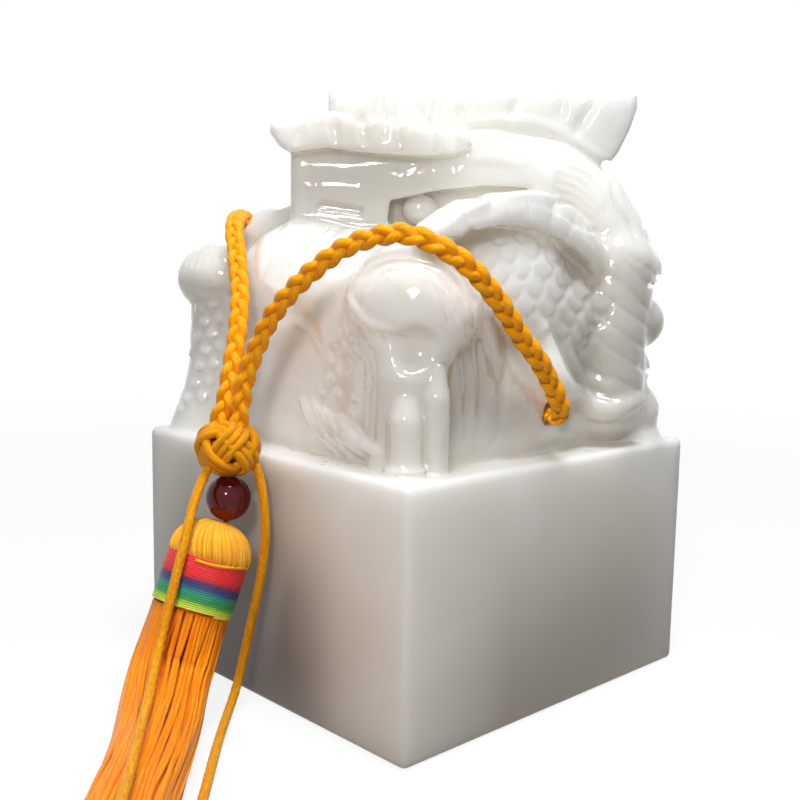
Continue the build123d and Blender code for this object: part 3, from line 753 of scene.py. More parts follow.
def jade():
    """Nephrite jade, polished: milky white, with light going deep into it and a wet gloss on the carving.

    Its colour is cloudy, with painted light and shade: white at the front and rear edges, as a painted glow,
    and in the carving; greyer and warmer below, and browner on the block's left face, as painted shade; darker
    in patches of the carving and in its recesses, also painted shade.
    """
    made, tree, shader = material("nephrite_jade_polished")
    place = add(tree, "ShaderNodeTexCoord").outputs["Object"]
    spot = add(tree, "ShaderNodeSeparateXYZ", {0: place}).outputs
    noises = []
    for scale, detail, bent in ((22.0, 3.0, 0.8), (9.0, 1.0, 0.0), (150.0, 1.5, 0.6), (160.0, 3.0, 0.0)):
        inputs = {"Vector": place, "Scale": scale, "Detail": detail, "Distortion": bent}
        noises.append(add(tree, "ShaderNodeTexNoise", inputs).outputs["Fac"])
    cloud, drift, hand, fine = noises
    # How far a spot lies from the front and rear edges, and how near the foot. They set painted shade: greyer
    # away from those edges, which keep a painted glow, and greyer and warmer towards the foot.
    edge = add(tree, "ShaderNodeMath", {0: spot["X"], 1: spot["Y"]}, operation="ADD").outputs[0]
    edge = add(tree, "ShaderNodeMath", {0: edge}, operation="ABSOLUTE").outputs[0]
    edge = add(tree, "ShaderNodeMath", {0: drift, 1: 0.008, 2: edge}, operation="MULTIPLY_ADD").outputs[0]
    edge = add(tree, "ShaderNodeMath", {0: edge, 1: 10.0}, operation="MULTIPLY").outputs[0]
    inward = add(tree, "ShaderNodeValToRGB", {"Fac": edge})
    inward.color_ramp.interpolation = "B_SPLINE"
    shares = ((0.12, 0.0), (0.28, 0.42), (0.38, 0.76), (0.65, 0.74), (0.88, 0.64), (1.0, 0.32))
    set_stops(inward, [(position, (share, share, share, 1)) for position, share in shares])
    low = add(tree, "ShaderNodeMath", {0: drift, 1: 0.014, 2: spot["Z"]}, operation="MULTIPLY_ADD").outputs[0]
    low = add(tree, "ShaderNodeMapRange", {"Value": low, "From Min": 0.064, "From Max": 0.008},
              interpolation_type="SMOOTHSTEP").outputs[0]
    # Painted shade: greyer and warmer towards the foot and away from the front and rear edges.
    painted_low_shade = add(tree, "ShaderNodeMath", {0: inward.outputs["Color"], 1: low}, operation="MULTIPLY").outputs[0]
    # Painted shade: brown, kept to the block's left face, away from both its ends and from the carving.
    painted_brown_shade = add(tree, "ShaderNodeMath", {0: low, 1: 0.62, 2: 0.25}, operation="MULTIPLY_ADD").outputs[0]
    for axis, none, full, kind in (("X", 0.033, 0.006, "SMOOTHSTEP"), ("Y", -0.030, -0.045, "LINEAR"),
                                   ("Z", 0.0595, 0.055, "LINEAR"), ("X", -0.047, -0.030, "LINEAR")):
        mask = add(tree, "ShaderNodeMapRange", {"Value": spot[axis], "From Min": none, "From Max": full},
                   interpolation_type=kind).outputs[0]
        painted_brown_shade = add(tree, "ShaderNodeMath", {0: painted_brown_shade, 1: mask}, operation="MULTIPLY").outputs[0]
    layers = [(painted_low_shade, "#93867a"), (painted_brown_shade, "#5b4c40")]
    # Seven soft patches of painted shade in the carving: each a middle, the radii where it is full and gone,
    # and its strength.
    for middle, full, gone, share in (
        ((0.046, 0.028, 0.088), 0.012, 0.034, 0.6), ((0.046, -0.017, 0.077), 0.005, 0.021, 0.72),
        ((-0.036, -0.036, 0.098), 0.008, 0.028, 0.46), ((0.0, -0.017, 0.120), 0.012, 0.027, 0.36),
        ((0.042, -0.040, 0.072), 0.008, 0.018, 0.32), ((0.008, 0.013, 0.142), 0.030, 0.052, 0.12),
        ((0.031, -0.033, 0.102), 0.008, 0.020, 0.12),
    ):
        away = add(tree, "ShaderNodeVectorMath", {0: place, 1: middle}, operation="DISTANCE").outputs["Value"]
        inputs = {"Value": away, "From Min": full, "From Max": gone, "To Min": share, "To Max": 0.0}
        painted_shade_patch = add(tree, "ShaderNodeMapRange", inputs, interpolation_type="SMOOTHSTEP").outputs[0]
        layers.append((painted_shade_patch, "#a29a8a"))
    painted_recess_shade = add(tree, "ShaderNodeAmbientOcclusion", {"Distance": 0.014}, samples=8).outputs["AO"]
    # Painted shade: recesses are darker and warmer.
    inputs = {"Value": painted_recess_shade, "From Min": 0.80, "From Max": 0.20, "To Max": 0.28}
    layers.append((add(tree, "ShaderNodeMapRange", inputs).outputs[0], "#b09c80"))
    tint = add(tree, "ShaderNodeValToRGB", {"Fac": cloud})
    set_stops(tint, [(0.3, colour("#efede6")), (0.7, colour("#f8f8f4"))])
    tone = tint.outputs["Color"]
    for share, code in layers:
        tone = add(tree, "ShaderNodeMix", {"Factor": share, "A": tone, "B": colour(code)},
                   data_type="RGBA").outputs["Result"]
    # The block is satin, the carving wet and hand-worn.
    inputs = {"Value": spot["Z"], "From Min": 0.058, "From Max": 0.064}
    carved = add(tree, "ShaderNodeMapRange", inputs).outputs[0]
    dull = add(tree, "ShaderNodeMapRange", {"Value": carved, "To Min": 0.36, "To Max": 0.05}).outputs[0]
    gloss = add(tree, "ShaderNodeMath", {0: fine, 1: 0.05, 2: dull}, operation="MULTIPLY_ADD").outputs[0]
    coat = add(tree, "ShaderNodeMath", {0: carved, 1: 0.6}, operation="MULTIPLY").outputs[0]
    strength = add(tree, "ShaderNodeMapRange", {"Value": carved, "To Min": 0.02, "To Max": 0.55}).outputs[0]
    bump = add(tree, "ShaderNodeBump", {"Strength": strength, "Distance": 0.0010, "Height": hand}).outputs[0]
    feed(shader, {"Base Color": tone, "Roughness": gloss, "IOR": 1.61, "Subsurface Weight": 0.85,
                  "Subsurface Radius": (1.0, 0.95, 0.88), "Subsurface Scale": 0.013, "Coat Weight": coat,
                  "Coat Roughness": 0.03, "Normal": bump})
    return made


def silk(name, dark, mid, light, twist=0.0, rough=0.34, patch=60.0):
    """Silk yarn: straight shiny filaments, so streaks run along each strand and light runs across it. The
    colour's streaks are partly tone that varies and partly painted sheen.
    """
    made, tree, shader = material(name)
    along = add(tree, "ShaderNodeAttribute", attribute_name="along").outputs["Fac"]
    rim = add(tree, "ShaderNodeAttribute", attribute_name="rim").outputs["Vector"]
    seed = add(tree, "ShaderNodeAttribute", attribute_name="strand").outputs["Fac"]
    turn = add(tree, "ShaderNodeMath", {0: along, 1: twist}, operation="MULTIPLY").outputs[0]
    spun = add(tree, "ShaderNodeVectorRotate", {"Vector": rim, "Angle": turn}, rotation_type="Z_AXIS")
    shift = add(tree, "ShaderNodeMath", {0: along, 1: patch}, operation="MULTIPLY").outputs[0]
    parts = add(tree, "ShaderNodeSeparateXYZ", {0: spun.outputs[0]}).outputs
    lane = add(tree, "ShaderNodeCombineXYZ", {"X": parts["X"], "Y": parts["Y"], "Z": shift}).outputs[0]
    inputs = {"Vector": lane, "W": seed, "Scale": 4.5, "Detail": 4.0, "Roughness": 0.7}
    sheen_streaks = add(tree, "ShaderNodeTexNoise", inputs, noise_dimensions="4D").outputs["Fac"]
    hair = add(tree, "ShaderNodeTexNoise", {"Vector": lane, "W": seed, "Scale": 14.0, "Detail": 2.0},
               noise_dimensions="4D").outputs["Fac"]
    # Painted sheen, in part: the streaks run from the dark colour to the light one, which is a highlight
    # colour.
    tint = add(tree, "ShaderNodeValToRGB", {"Fac": sheen_streaks})
    set_stops(tint, [(0.28, colour(dark)), (0.5, colour(mid)), (0.72, colour(light))])
    bump = add(tree, "ShaderNodeBump", {"Strength": 0.5, "Distance": 0.00012, "Height": hair}).outputs[0]
    feed(shader, {"Base Color": tint.outputs["Color"], "Roughness": rough, "Specular IOR Level": 0.3,
                  "Specular Tint": colour(light), "Sheen Weight": 0.12, "Sheen Roughness": 0.4,
                  "Subsurface Weight": 0.12, "Subsurface Radius": (1.0, 0.5, 0.15), "Subsurface Scale": 0.001,
                  "Normal": bump})
    return made


def bead_finish():
    """Dyed agate, tumbled to a high polish: nearly black red, with a painted warm glow at its foot."""
    made, tree, shader = material("dyed_agate_polished")
    place = add(tree, "ShaderNodeTexCoord").outputs["Object"]
    band = add(tree, "ShaderNodeTexNoise", {"Vector": place, "Scale": 140.0, "Detail": 3.0, "Distortion": 1.5})
    low = add(tree, "ShaderNodeSeparateXYZ", {0: place}).outputs["Z"]
    # Painted glow: lighter and warmer towards the bead's foot.
    inputs = {"Value": low, "From Min": 0.0505, "From Max": 0.0452, "To Max": 0.75}
    painted_foot_glow = add(tree, "ShaderNodeMapRange", inputs).outputs[0]
    mixed = add(tree, "ShaderNodeMath", {0: band.outputs["Fac"], 1: 0.5, 2: painted_foot_glow},
                operation="MULTIPLY_ADD").outputs[0]
    tint = add(tree, "ShaderNodeValToRGB", {"Fac": mixed})
    set_stops(tint, [(0.25, colour("#520a12")), (1.0, colour("#8a2a12"))])
    feed(shader, {"Base Color": tint.outputs["Color"], "Roughness": 0.08, "IOR": 1.54,
                  "Specular IOR Level": 0.22, "Subsurface Weight": 0.2, "Subsurface Radius": (1.0, 0.2, 0.1),
                  "Subsurface Scale": 0.003})
    return made


def thread_finish(name, stops):
    """Rayon sewing thread, wound tight: glossy, its dye running from colour to colour along the winding."""
    made, tree, shader = material(name)
    along = add(tree, "ShaderNodeAttribute", attribute_name="along").outputs["Fac"]
    share = add(tree, "ShaderNodeAttribute", attribute_name="share").outputs["Fac"]
    rim = add(tree, "ShaderNodeAttribute", attribute_name="rim").outputs["Vector"]
    tint = add(tree, "ShaderNodeValToRGB", {"Fac": share})
    set_stops(tint, [(position, colour(code)) for position, code in stops])
    turn = add(tree, "ShaderNodeMath", {0: along, 1: 14000.0}, operation="MULTIPLY").outputs[0]
    parts = add(tree, "ShaderNodeSeparateXYZ", {0: rim}).outputs
    angle = add(tree, "ShaderNodeMath", {0: parts["Y"], 1: parts["X"]}, operation="ARCTAN2").outputs[0]
    lay = add(tree, "ShaderNodeMath", {0: angle, 1: 2.0, 2: turn}, operation="MULTIPLY_ADD").outputs[0]
    twist = add(tree, "ShaderNodeMath", {0: lay}, operation="SINE").outputs[0]
    # Painted shade and highlight: the colour is darker in the twist's grooves and lighter on its ridges.
    shade = add(tree, "ShaderNodeMath", {0: twist, 1: 0.10, 2: 0.95}, operation="MULTIPLY_ADD").outputs[0]
    shaded = add(tree, "ShaderNodeVectorMath", {0: tint.outputs["Color"], "Scale": shade},
                 operation="SCALE").outputs[0]
    bump = add(tree, "ShaderNodeBump", {"Strength": 0.6, "Distance": 0.00005, "Height": twist}).outputs[0]
    feed(shader, {"Base Color": shaded, "Roughness": 0.42, "Sheen Weight": 0.1, "Normal": bump})
    return made


def surface_net(clay):
    """The clay's surface as points and four-sided faces that point outwards."""
    field = clay.field
    solid = field < 0
    counts = np.array(field.shape) - 1
    filled = np.zeros(counts, np.int8)
    for i, j, k in np.ndindex(2, 2, 2):
        filled += solid[i:i + counts[0], j:j + counts[1], k:k + counts[2]]
    cells = np.argwhere((filled > 0) & (filled < 8))
    number = np.full(counts, -1, np.int32)
    number[tuple(cells.T)] = np.arange(len(cells))
    total = np.zeros((len(cells), 3))
    crossings = np.zeros(len(cells))
    for axis in range(3):
        others = [a for a in range(3) if a != axis]
        for offset in np.ndindex(2, 2):
            start = cells.copy()
            start[:, others] += offset
            end = start.copy()
            end[:, axis] += 1
            a = field[tuple(start.T)]
            b = field[tuple(end.T)]
            crossed = (a < 0) != (b < 0)
            spot = start.astype(float)
            spot[:, axis] += np.where(crossed, a / np.where(crossed, a - b, 1), 0)
            total += spot * crossed[:, None]
            crossings += crossed
    points = clay.low + clay.step * total / crossings[:, None]
    faces = []
    for axis in range(3):
        others = [(axis + 1) % 3, (axis + 2) % 3]
        spots = np.argwhere(np.diff(solid, axis=axis))
        spots = spots[((spots[:, others] > 0) & (spots[:, others] < counts[others])).all(1)]
        ring_cells = []
        for back in ((1, 1), (0, 1), (0, 0), (1, 0)):
            cell = spots.copy()
            cell[:, others] -= back
            ring_cells.append(number[tuple(cell.T)])
        quad = np.stack(ring_cells, 1)
        inward = ~solid[tuple(spots.T)]
        quad[inward] = quad[inward][:, ::-1]
        faces.append(quad)
    return points, np.concatenate(faces)


def solid_mesh(name, points, faces):
    """A smooth mesh from points in millimetres, with its faces turned outwards."""
    mesh = bpy.data.meshes.new(name)
    mesh.from_pydata(points * MM, [], faces)
    made = bmesh.new()
    made.from_mesh(mesh)
    bmesh.ops.recalc_face_normals(made, faces=made.faces)
    made.to_mesh(mesh)
    made.free()
    mesh.shade_smooth()
    return mesh


# The block in millimetres: half its side, its upright edges' radius and the radius round its foot.
HALF_SIDE = 50.0
CORNER = 2.0
FOOT_ROUND = 1.6
TRIANGLE_LIMIT = 190000


def with_foot(points, faces):
    """Points and faces of a net, continued from its open lower rim down the sides and round the foot."""
    total = len(points)
    edges = np.stack([faces, np.roll(faces, -1, axis=1)], -1).reshape(-1, 2).astype(np.int64)
    open_edges = edges[~np.isin(edges @ (total, 1), edges @ (1, total))]
    onward = dict(open_edges.tolist())
    loop = [int(open_edges[0, 0])]
    while onward[loop[-1]] != loop[0]:
        loop.append(onward[loop[-1]])
    flat = points[loop, :2]
    kept = np.clip(flat, CORNER - HALF_SIDE, HALF_SIDE - CORNER)
    upper = np.array(loop)
    every_face = faces.tolist()
    for turn in np.radians((0, 22.5, 45, 67.5, 90)):
        inset = FOOT_ROUND * (1 - cos(turn))
        ring = kept + unit(flat - kept) * (CORNER - inset)
        height = np.full((len(loop), 1), FOOT_ROUND * (1 - sin(turn)))
        lower = len(points) + np.arange(len(loop))
        points = np.vstack([points, np.hstack([ring, height])])
        every_face += np.stack([np.roll(upper, -1), upper, lower, np.roll(lower, -1)], 1).tolist()
        upper = lower
    return points, every_face + [upper[::-1].tolist()]


def carve_seal():
    """The seal: the carving out of the clay, on a block whose foot has rounded edges."""
    step = 0.62
    clay = Clay((-51, -51, 50), (51, 51, 150), step)
    masses(clay)
    front_details(clay)
    rear_details(clay)
    # The bore goes through everything else.
    clay.cut(*rope([(-60, 0, 70.5), (60, 0, 70.5)], 3.1), 0.4)
    points, faces = surface_net(clay)
    for _ in range(2):
        points -= clay.slope(points, step) * clay.sample(points)[:, None] * 0.9
    mesh = solid_mesh("jade_seal", *with_foot(points, faces))
    seal = keep(mesh, "jade_seal")
    triangles = len(mesh.polygons) * 2
    if triangles > TRIANGLE_LIMIT:
        thin = seal.modifiers.new("thin", "DECIMATE")
        thin.ratio = TRIANGLE_LIMIT / triangles
        graph = bpy.context.evaluated_depsgraph_get()
        seal.data = bpy.data.meshes.new_from_object(seal.evaluated_get(graph), depsgraph=graph)
        seal.modifiers.clear()
    seal.data.materials.append(jade())
    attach(seal, "seal")
    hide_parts("seal_stone")
    return seal


LOOP_SILK = silk("silk_plait_amber", "#f07800", "#ffa60c", "#ffd244", twist=900.0, rough=0.38)
KNOT_SILK = silk("silk_cord_gold", "#b87400", "#e29410", "#f2b838", twist=0.0, rough=0.42)
LOOP_TREE = tube_tree("plait strand", LOOP_SILK)
KNOT_TREE = tube_tree("knot cord", KNOT_SILK)

# The plait: three flattened strands, 13.8 mm for a full turn of each, so a chevron every 4.6 mm.
PLAIT_TURN = 13.8
PLAIT_REACH = 1.24
PLAIT_RISE = 0.72


def plait(name, route, facing, start_turn=0.0):
    """A plait of three strands round a route. Returns the piece and the line that it follows."""
    line = spline_points(route)
    across, out = sideways(line, facing)
    strands = []
    for third in range(3):
        turn = 2 * pi * (runs(line) / PLAIT_TURN + third / 3) + start_turn
        swing = np.sin(turn) * PLAIT_REACH
        rise = np.sin(2 * turn) * PLAIT_RISE
        strands.append((line + across * swing[:, None] + out * rise[:, None], 1.0))
    return skin_strands(name, strands, LOOP_TREE, "seal", 1.12, 0.98, 12, 5, 0.05), line


TOWARDS_CAMERA = (0.70, -0.70, 0.14)
front_leg, front_line = plait("plait_front_leg", FRONT_LEG, TOWARDS_CAMERA)
rear_leg, rear_line = plait("plait_rear_leg", REAR_LEG, TOWARDS_CAMERA, start_turn=1.3)
bore_run = plait("plait_bore_run", BORE_RUN, (0, 0, 1))[0]

# The knot's middle in millimetres, and its directions across the picture, towards the camera and up.
KNOT_MIDDLE = np.array((0, -59, 62.0))
KNOT_ACROSS = np.array((0.7071, 0.7071, 0))
KNOT_TOWARDS = np.array((0.7071, -0.7071, 0))
KNOT_UP = np.array((0, 0, 1.0))


def knot_cord():
    """The button knot: one cord followed round three times in an over-and-under weave, on a barrel form."""
    leads, bights = 3, 4
    turn = np.linspace(0, 2 * pi * leads, 1300, endpoint=True)
    swing = bights * turn / leads
    tall = np.cos(swing)
    polar = tall * 1.12
    wide = 6.25 * np.cos(polar) ** 0.8 + 0.72 * np.sin(2 * swing) * (1 - 0.45 * tall ** 2)
    around = np.cos(turn + 0.45)[:, None] * KNOT_ACROSS + 0.75 * np.sin(turn + 0.45)[:, None] * KNOT_TOWARDS
    middle = KNOT_MIDDLE + around * wide[:, None] + (5.2 * np.sin(polar))[:, None] * KNOT_UP
    side = unit(np.cross(unit(np.gradient(middle, axis=0)), unit(middle - KNOT_MIDDLE)))
    strands = [(middle + side * offset, 1.0) for offset in (-1.7, 0.0, 1.7)]
    return skin_strands("button_knot_cord", strands, KNOT_TREE, "seal", 1.0, 0.92, 14)


knot = knot_cord()
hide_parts("button_knot")
for plaited, node_name in ((front_leg, "loop_front_leg"), (rear_leg, "loop_rear_leg"),
                           (bore_run, "loop_bore_run")):
    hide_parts(node_name)


def closed_tube(name, points, finish, run):
    """A mesh from rings of points, closed at both ends, which stores how far along each point is."""
    rings, sides = points.shape[:2]
    index = np.arange(rings * sides).reshape(rings, sides)
    nxt = np.roll(index, -1, axis=1)
    quads = np.stack([index[:-1], nxt[:-1], nxt[1:], index[1:]], -1).reshape(-1, 4).tolist()
    quads.append(index[0][::-1].tolist())
    quads.append(index[-1].tolist())
    mesh = solid_mesh(name, points.reshape(-1, 3), quads)
    along = mesh.attributes.new("along", "FLOAT", "POINT")
    along.data.foreach_set("value", np.repeat(run * MM, sides))
    rim = mesh.attributes.new("rim", "FLOAT_VECTOR", "POINT")
    angle = circle_angles(sides)
    ring_points = np.stack([np.cos(angle), np.sin(angle), np.zeros(sides)], 1)
    rim.data.foreach_set("vector", np.tile(ring_points, (rings, 1)).ravel())
    mesh.materials.append(finish)
    return keep(mesh, name)


def braided_tail(name, route, node_name):
    """A round braided cord, 2.2 mm thick: five yarns each way round a core, each lump a millimetre long."""
    line = spline_points(route, 0.16)
    across, out = carried(line)
    run = runs(line)
    angle = circle_angles(24)
    one, two = [5 * angle[None, :] / (2 * pi) + way * run[:, None] / 2.3 for way in (1, -1)]
    first, second = [np.sin(pi * (lay - np.floor(lay))) for lay in (one, two)]
    on_top = (np.floor(one) + np.floor(two)) % 2 == 0
    lump = np.where(on_top, np.maximum(first, second * 0.75), np.maximum(second, first * 0.75))
    reach = 0.90 + 0.20 * lump
    around = np.cos(angle)[None, :, None] * across[:, None, :] + np.sin(angle)[None, :, None] * out[:, None, :]
    piece = closed_tube(name, line[:, None, :] + reach[:, :, None] * around, KNOT_SILK, run)
    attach(piece, "tassel")
    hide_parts(node_name)


def knot_core():
    """The filling of the knot, so that no gap between its cords shows through."""
    tilts = np.linspace(0.06, pi - 0.06, 18)
    rings = np.array([[KNOT_MIDDLE + 4.4 * cos(t) * KNOT_UP
                       + (5.2 * cos(a) * KNOT_ACROSS + 3.7 * sin(a) * KNOT_TOWARDS) * sin(t)
                       for a in circle_angles(32)] for t in tilts])
    piece = closed_tube("knot_core", rings, KNOT_SILK, tilts * 4.4)
    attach(piece, "seal")


knot_core()
braided_tail("braided_tail_left", TAIL_LEFT, "tail_left")
braided_tail("braided_tail_right", TAIL_RIGHT, "tail_right")


# The tassel hangs from the bead and leans 22 degrees towards the camera's left.
TASSEL_WAY = np.array((0, -0.3843, -0.9232))
HEAD_TOP = np.array((0, -61.152, 45.28))
SIDE_WAY = np.array((1.0, 0, 0))
DEEP_WAY = np.cross(TASSEL_WAY, SIDE_WAY)

FLOSS = silk("silk_floss_yellow", "#e05600", "#fb8c0a", "#ffc43c", rough=0.3, patch=25.0)
FLOSS_HEAD = silk("silk_floss_folded", "#d87a08", "#f4a628", "#ffe05c", rough=0.3, patch=25.0)
FLOSS_TREE = tube_tree("floss lock", FLOSS)
HEAD_TREE = tube_tree("head floss", FLOSS_HEAD)


def in_tassel(height, radius, angle):
    """A point of the tassel's head, from its distance down the axis, off the axis and round it."""
    return HEAD_TOP + TASSEL_WAY * height + (SIDE_WAY * cos(angle) + DEEP_WAY * sin(angle)) * radius


def bead_piece():
    """The bead: a ball with a drilled hole whose mouths are eased."""
    centre = np.array((0, -59, 50.45))
    reach, hole = 5.2, 1.15
    start = np.arcsin((hole + 0.25) / reach)
    profile = [(reach * sin(a), reach * cos(a)) for a in np.linspace(start, pi - start, 40)]
    top = profile[0][1]
    mouth = [(hole, top - 1.0), (hole + 0.05, top - 0.3), (hole + 0.12, top - 0.1)]
    profile = mouth + profile + [(radius, -height) for radius, height in mouth[::-1]]
    sides = 64
    rings = np.array([[centre + (r * cos(a), r * sin(a), h) for a in circle_angles(sides)]
                      for r, h in profile])
    index = np.arange(rings.shape[0] * sides).reshape(-1, sides)
    index = np.vstack([index, index[:1]])
    nxt = np.roll(index, -1, axis=1)
    quads = np.stack([index[:-1], index[1:], nxt[1:], nxt[:-1]], -1).reshape(-1, 4).tolist()
    mesh = solid_mesh("agate_bead", rings.reshape(-1, 3), quads)
    mesh.materials.append(bead_finish())
    piece = keep(mesh, "agate_bead")
    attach(piece, "bead")
    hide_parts("bead")


bead_piece()


def hanging_cord():
    """Two fine threads twisted together, through the bead."""
    top = 56.2
    heights = np.linspace(top, 44.0, 60)
    strands = []
    for half in (0, pi):
        turn = heights * 2.1 + half
        back = -59 + 0.36 * np.sin(turn) - (top - heights) ** 2 * 0.004
        strands.append((np.stack([0.36 * np.cos(turn), back, heights], 1), 1.0))
    piece = skin_strands("bead_thread", strands, KNOT_TREE, "tassel", 0.42, 0.42, 10)
    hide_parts("bead_cord")


hanging_cord()


def floss_head():
    """The folded floss over the head: locks from the thread at its crown down to the band."""
    rand = np.random.default_rng(7)
    strands = []
    count = 46
    for number in range(count):
        angle = 2 * pi * number / count + rand.uniform(-0.03, 0.03)
        bulge = rand.uniform(-0.22, 0.12)
        line = []
        for share in np.linspace(0, 1, 26):
            lift = np.sqrt(max(1 - (1 - min(share * 1.3, 1)) ** 2, 0))
            tuck = max(share - 0.78, 0) / 0.22
            radius = 1.0 + (7.85 + bulge) * lift - 1.1 * tuck ** 1.5
            line.append(in_tassel(0.5 + 9.3 * share, radius, angle + 0.35 * (1 - share)))
        strands.append((np.array(line), 1.0))
    piece = skin_strands("floss_head", strands, HEAD_TREE, "tassel", 0.74, 0.66, 12, 4, 0.08)
    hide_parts("tassel_head")


def head_core():
    """The bound core under the head's floss, which keeps its gaps dark."""
    profile = [(0.01, 0.4), (2.5, 0.9), (5.5, 2.2), (7.6, 4.6), (8.3, 8.0), (8.3, 20.4), (0.01, 20.6)]
    rings = np.array([[in_tassel(h, r, a) for a in circle_angles(48)] for r, h in profile])
    piece = closed_tube("head_core", rings, FLOSS, np.array([h for _, h in profile]))
    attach(piece, "tassel")


floss_head()
head_core()


def thread_band(name, node_name, first, last, stops):
    """One colour of the band: a fine thread wound round and round, its turns touching."""
    pitch, half = 0.47, 0.27
    tree = tube_tree("thread " + name, thread_finish("rayon_thread_" + name, stops))
    turns = max(1, round((last - first) / pitch))
    marks = np.linspace(0, turns, turns * 72 + 1)
    line = np.array([in_tassel(first + (last - first) * m / turns, 8.95, 2 * pi * m) for m in marks])
    piece = skin_strands("thread_" + name, [(line, 1.0)], tree, "tassel", half, half, 8)
    along = np.zeros(len(piece.data.vertices))
    piece.data.attributes["along"].data.foreach_get("value", along)
    share = piece.data.attributes.new("share", "FLOAT", "POINT")
    share.data.foreach_set("value", along / max(along.max(), 1e-9))
    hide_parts(node_name)


thread_band("red", "winding_red", 8.72, 13.6,
            ((0, "#ff3340"), (0.75, "#f22a26"), (0.93, "#c81c34"), (1, "#9a1c4a")))
thread_band("violet", "winding_violet", 13.6, 15.42,
            ((0, "#5c2060"), (0.4, "#37296a"), (1, "#24508a")))
thread_band("green", "winding_green", 15.42, 18.36,
            ((0, "#1b6f86"), (0.3, "#1c9c7c"), (0.75, "#2a9448"), (1, "#5aae3a")))
thread_band("yellow", "winding_yellow", 18.36, 20.15,
            ((0, "#86c834"), (0.45, "#c4de3a"), (1, "#ece24a")))


def floss_tie():
    """A loose loop of floss that crosses the top of the red threads, on the camera's side."""
    line = [in_tassel(8.9 + 0.55 * sin(2.4 * turn), 9.05, turn) for turn in np.linspace(-2.6, 0.9, 60)]
    return skin_strands("floss_tie", [(evenly(np.array(line), 0.5), 1.0)], HEAD_TREE, "tassel", 0.42, 0.42, 10)


floss_tie()

# The skirt's sections in millimetres: middle, half width and half height, from the band to the tips.
SKIRT = [((0, -69.03, 26.35), 8.9, 8.9), ((0, -72.63, 17.39), 9.17, 9.0), ((2.7, -76.95, 11.6), 8.9, 7.8),
         ((12.5, -84.96, 6.9), 8.5, 6.6), ((24.5, -94.8, 6.2), 8.45, 5.9), ((34.8, -104.0, 6.0), 8.6, 5.7),
         ((45.8, -113.6, 5.6), 8.9, 5.3), ((55.3, -122.1, 5.0), 9.17, 4.7)]


def skirt_locks():
    """The skirt: flat locks of floss that leave the band side by side, wave a little and lie down."""
    rand = np.random.default_rng(21)
    middles = spline_points([section[0] for section in SKIRT], 1.2)
    run = runs(middles)
    marks = np.linspace(0, run[-1], len(SKIRT))
    half_widths = np.interp(run, marks, [section[1] for section in SKIRT])
    half_heights = np.interp(run, marks, [section[2] for section in SKIRT])
    along = unit(np.gradient(middles, axis=0))
    side = np.cross((0, 0, 1.0), along)
    for spot in range(len(side) - 2, -1, -1):
        side[spot] = side[spot + 1] - along[spot] * (side[spot + 1] @ along[spot])
        side[spot] /= np.linalg.norm(side[spot])
    side[-1] /= np.linalg.norm(side[-1])
    top = np.cross(side, along)
    floor_clearance = 1.0
    strands = []
    for ring_share, count, width in ((0.92, 72, 0.74), (0.74, 44, 0.9), (0.42, 16, 1.4)):
        for number in range(count):
            angle = 2 * pi * (number + 0.5 * (ring_share < 0.8)) / count + rand.uniform(-0.05, 0.05)
            wave = rand.uniform(0, 2 * pi, 3)
            drift = 0.09 * np.sin(run / 19 + wave[0]) + 0.02 * np.sin(run / 7 + wave[1])
            spread = angle + drift * np.clip(run / 18, 0, 1)
            share = ring_share * (1 + 0.05 * np.sin(run / 12 + wave[2]) * np.clip(run / 10, 0, 1))
            wide = (np.cos(spread) * half_widths * share)[:, None]
            high = (np.sin(spread) * half_heights * share)[:, None]
            line = middles + side * wide + top * high
            line[:, 2] = np.maximum(line[:, 2], floor_clearance)
            stop = len(line) - int(rand.integers(0, 5))
            body = width * (0.9 + 0.2 * rand.random()) * (1 + 0.08 * np.sin(run / 9 + wave[1]))
            strands.append((line[:stop], body[:stop]))
    piece = skin_strands("floss_skirt", strands, FLOSS_TREE, "tassel", 0.85, 0.62, 10, 3, 0.08)
    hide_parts("tassel_skirt")


skirt_locks()
carve_seal()


def bare_to_view(tree):
    """One where the camera, a reflection or a refraction looks, and zero for light that is thrown on."""
    path = add(tree, "ShaderNodeLightPath").outputs
    seen = path["Is Camera Ray"]
    for kind in ("Is Glossy Ray", "Is Transmission Ray"):
        seen = add(tree, "ShaderNodeMath", {0: seen, 1: path[kind]}, operation="MAXIMUM").outputs[0]
    return seen


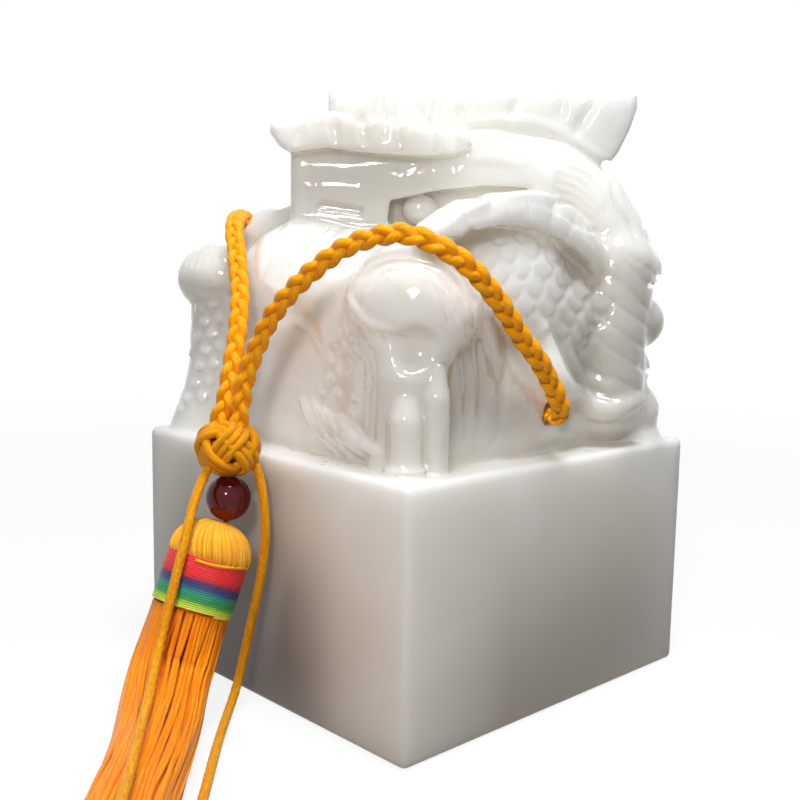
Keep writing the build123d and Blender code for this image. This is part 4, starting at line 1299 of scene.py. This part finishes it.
def paper():
    """Matt white board, pale to the camera and in reflections, with the object's soft shadow on it.

    What it throws back at the stone is as dim and warm as a wooden table's light.
    """
    made, tree, shader = material("matt_board")
    tree.nodes.remove(shader)
    seen = bare_to_view(tree)
    place = add(tree, "ShaderNodeTexCoord").outputs["Object"]
    away = add(tree, "ShaderNodeVectorMath", {0: place}, operation="LENGTH").outputs["Value"]
    share = add(tree, "ShaderNodeMapRange", {"Value": away, "From Min": 0.12, "From Max": 0.6, "To Min": 0.86})
    share = add(tree, "ShaderNodeMath", {0: seen, 1: share.outputs[0]}, operation="MULTIPLY").outputs[0]
    tone = add(tree, "ShaderNodeMix", {"Factor": seen, "A": colour("#7b7166"), "B": colour("#f6f5f3")},
               data_type="RGBA")
    matt = add(tree, "ShaderNodeBsdfDiffuse", {"Color": tone.outputs["Result"]}).outputs[0]
    white = add(tree, "ShaderNodeEmission", {"Color": (1, 1, 1, 1), "Strength": 1.0}).outputs[0]
    mixed = add(tree, "ShaderNodeMixShader", {0: share, 1: matt, 2: white}).outputs[0]
    feed(tree.nodes["Material Output"], {"Surface": mixed})
    return made


def lay_floor():
    """A plain pale floor."""
    mesh = bpy.data.meshes.new("floor")
    reach = 3.0
    corners = [(-reach, -reach, 0), (reach, -reach, 0), (reach, reach, 0), (-reach, reach, 0)]
    mesh.from_pydata(corners, [], [(0, 1, 2, 3)])
    mesh.materials.append(paper())
    floor = keep(mesh, "floor")


lay_floor()


def add_lamp(name, place, target, size, power, tint):
    """A round softbox that faces a point of the object."""
    lamp = bpy.data.lights.new(name, "AREA")
    lamp.shape = "DISK"
    lamp.size = size
    lamp.energy = power
    lamp.color = colour(tint)[:3]
    holder = bpy.data.objects.new(name, lamp)
    bpy.context.scene.collection.objects.link(holder)
    way = Vector(target) - Vector(place)
    holder.matrix_world = Matrix.Translation(Vector(place)) @ way.to_track_quat("-Z", "Y").to_matrix().to_4x4()


add_lamp("window", (0.16, -0.06, 0.75), (0, 0, 0.10), 0.26, 5.0, "#f6faff")
add_lamp("corner", (0.22, -0.30, 0.26), (0.04, -0.04, 0.06), 0.06, 0.66, "#ffffff")

# A white room: full white to the camera, and a dim light on the object.
world = bpy.data.worlds.new("white_room")
bpy.context.scene.world = world
world.use_nodes = True
room = world.node_tree
room.nodes.clear()
strength = add(room, "ShaderNodeMapRange", {"Value": bare_to_view(room), "To Min": 0.13}).outputs[0]
back = add(room, "ShaderNodeBackground", {"Color": (1, 1, 1, 1), "Strength": strength}).outputs[0]
add(room, "ShaderNodeOutputWorld", {"Surface": back})

bpy.context.scene.view_settings.view_transform = "Standard"
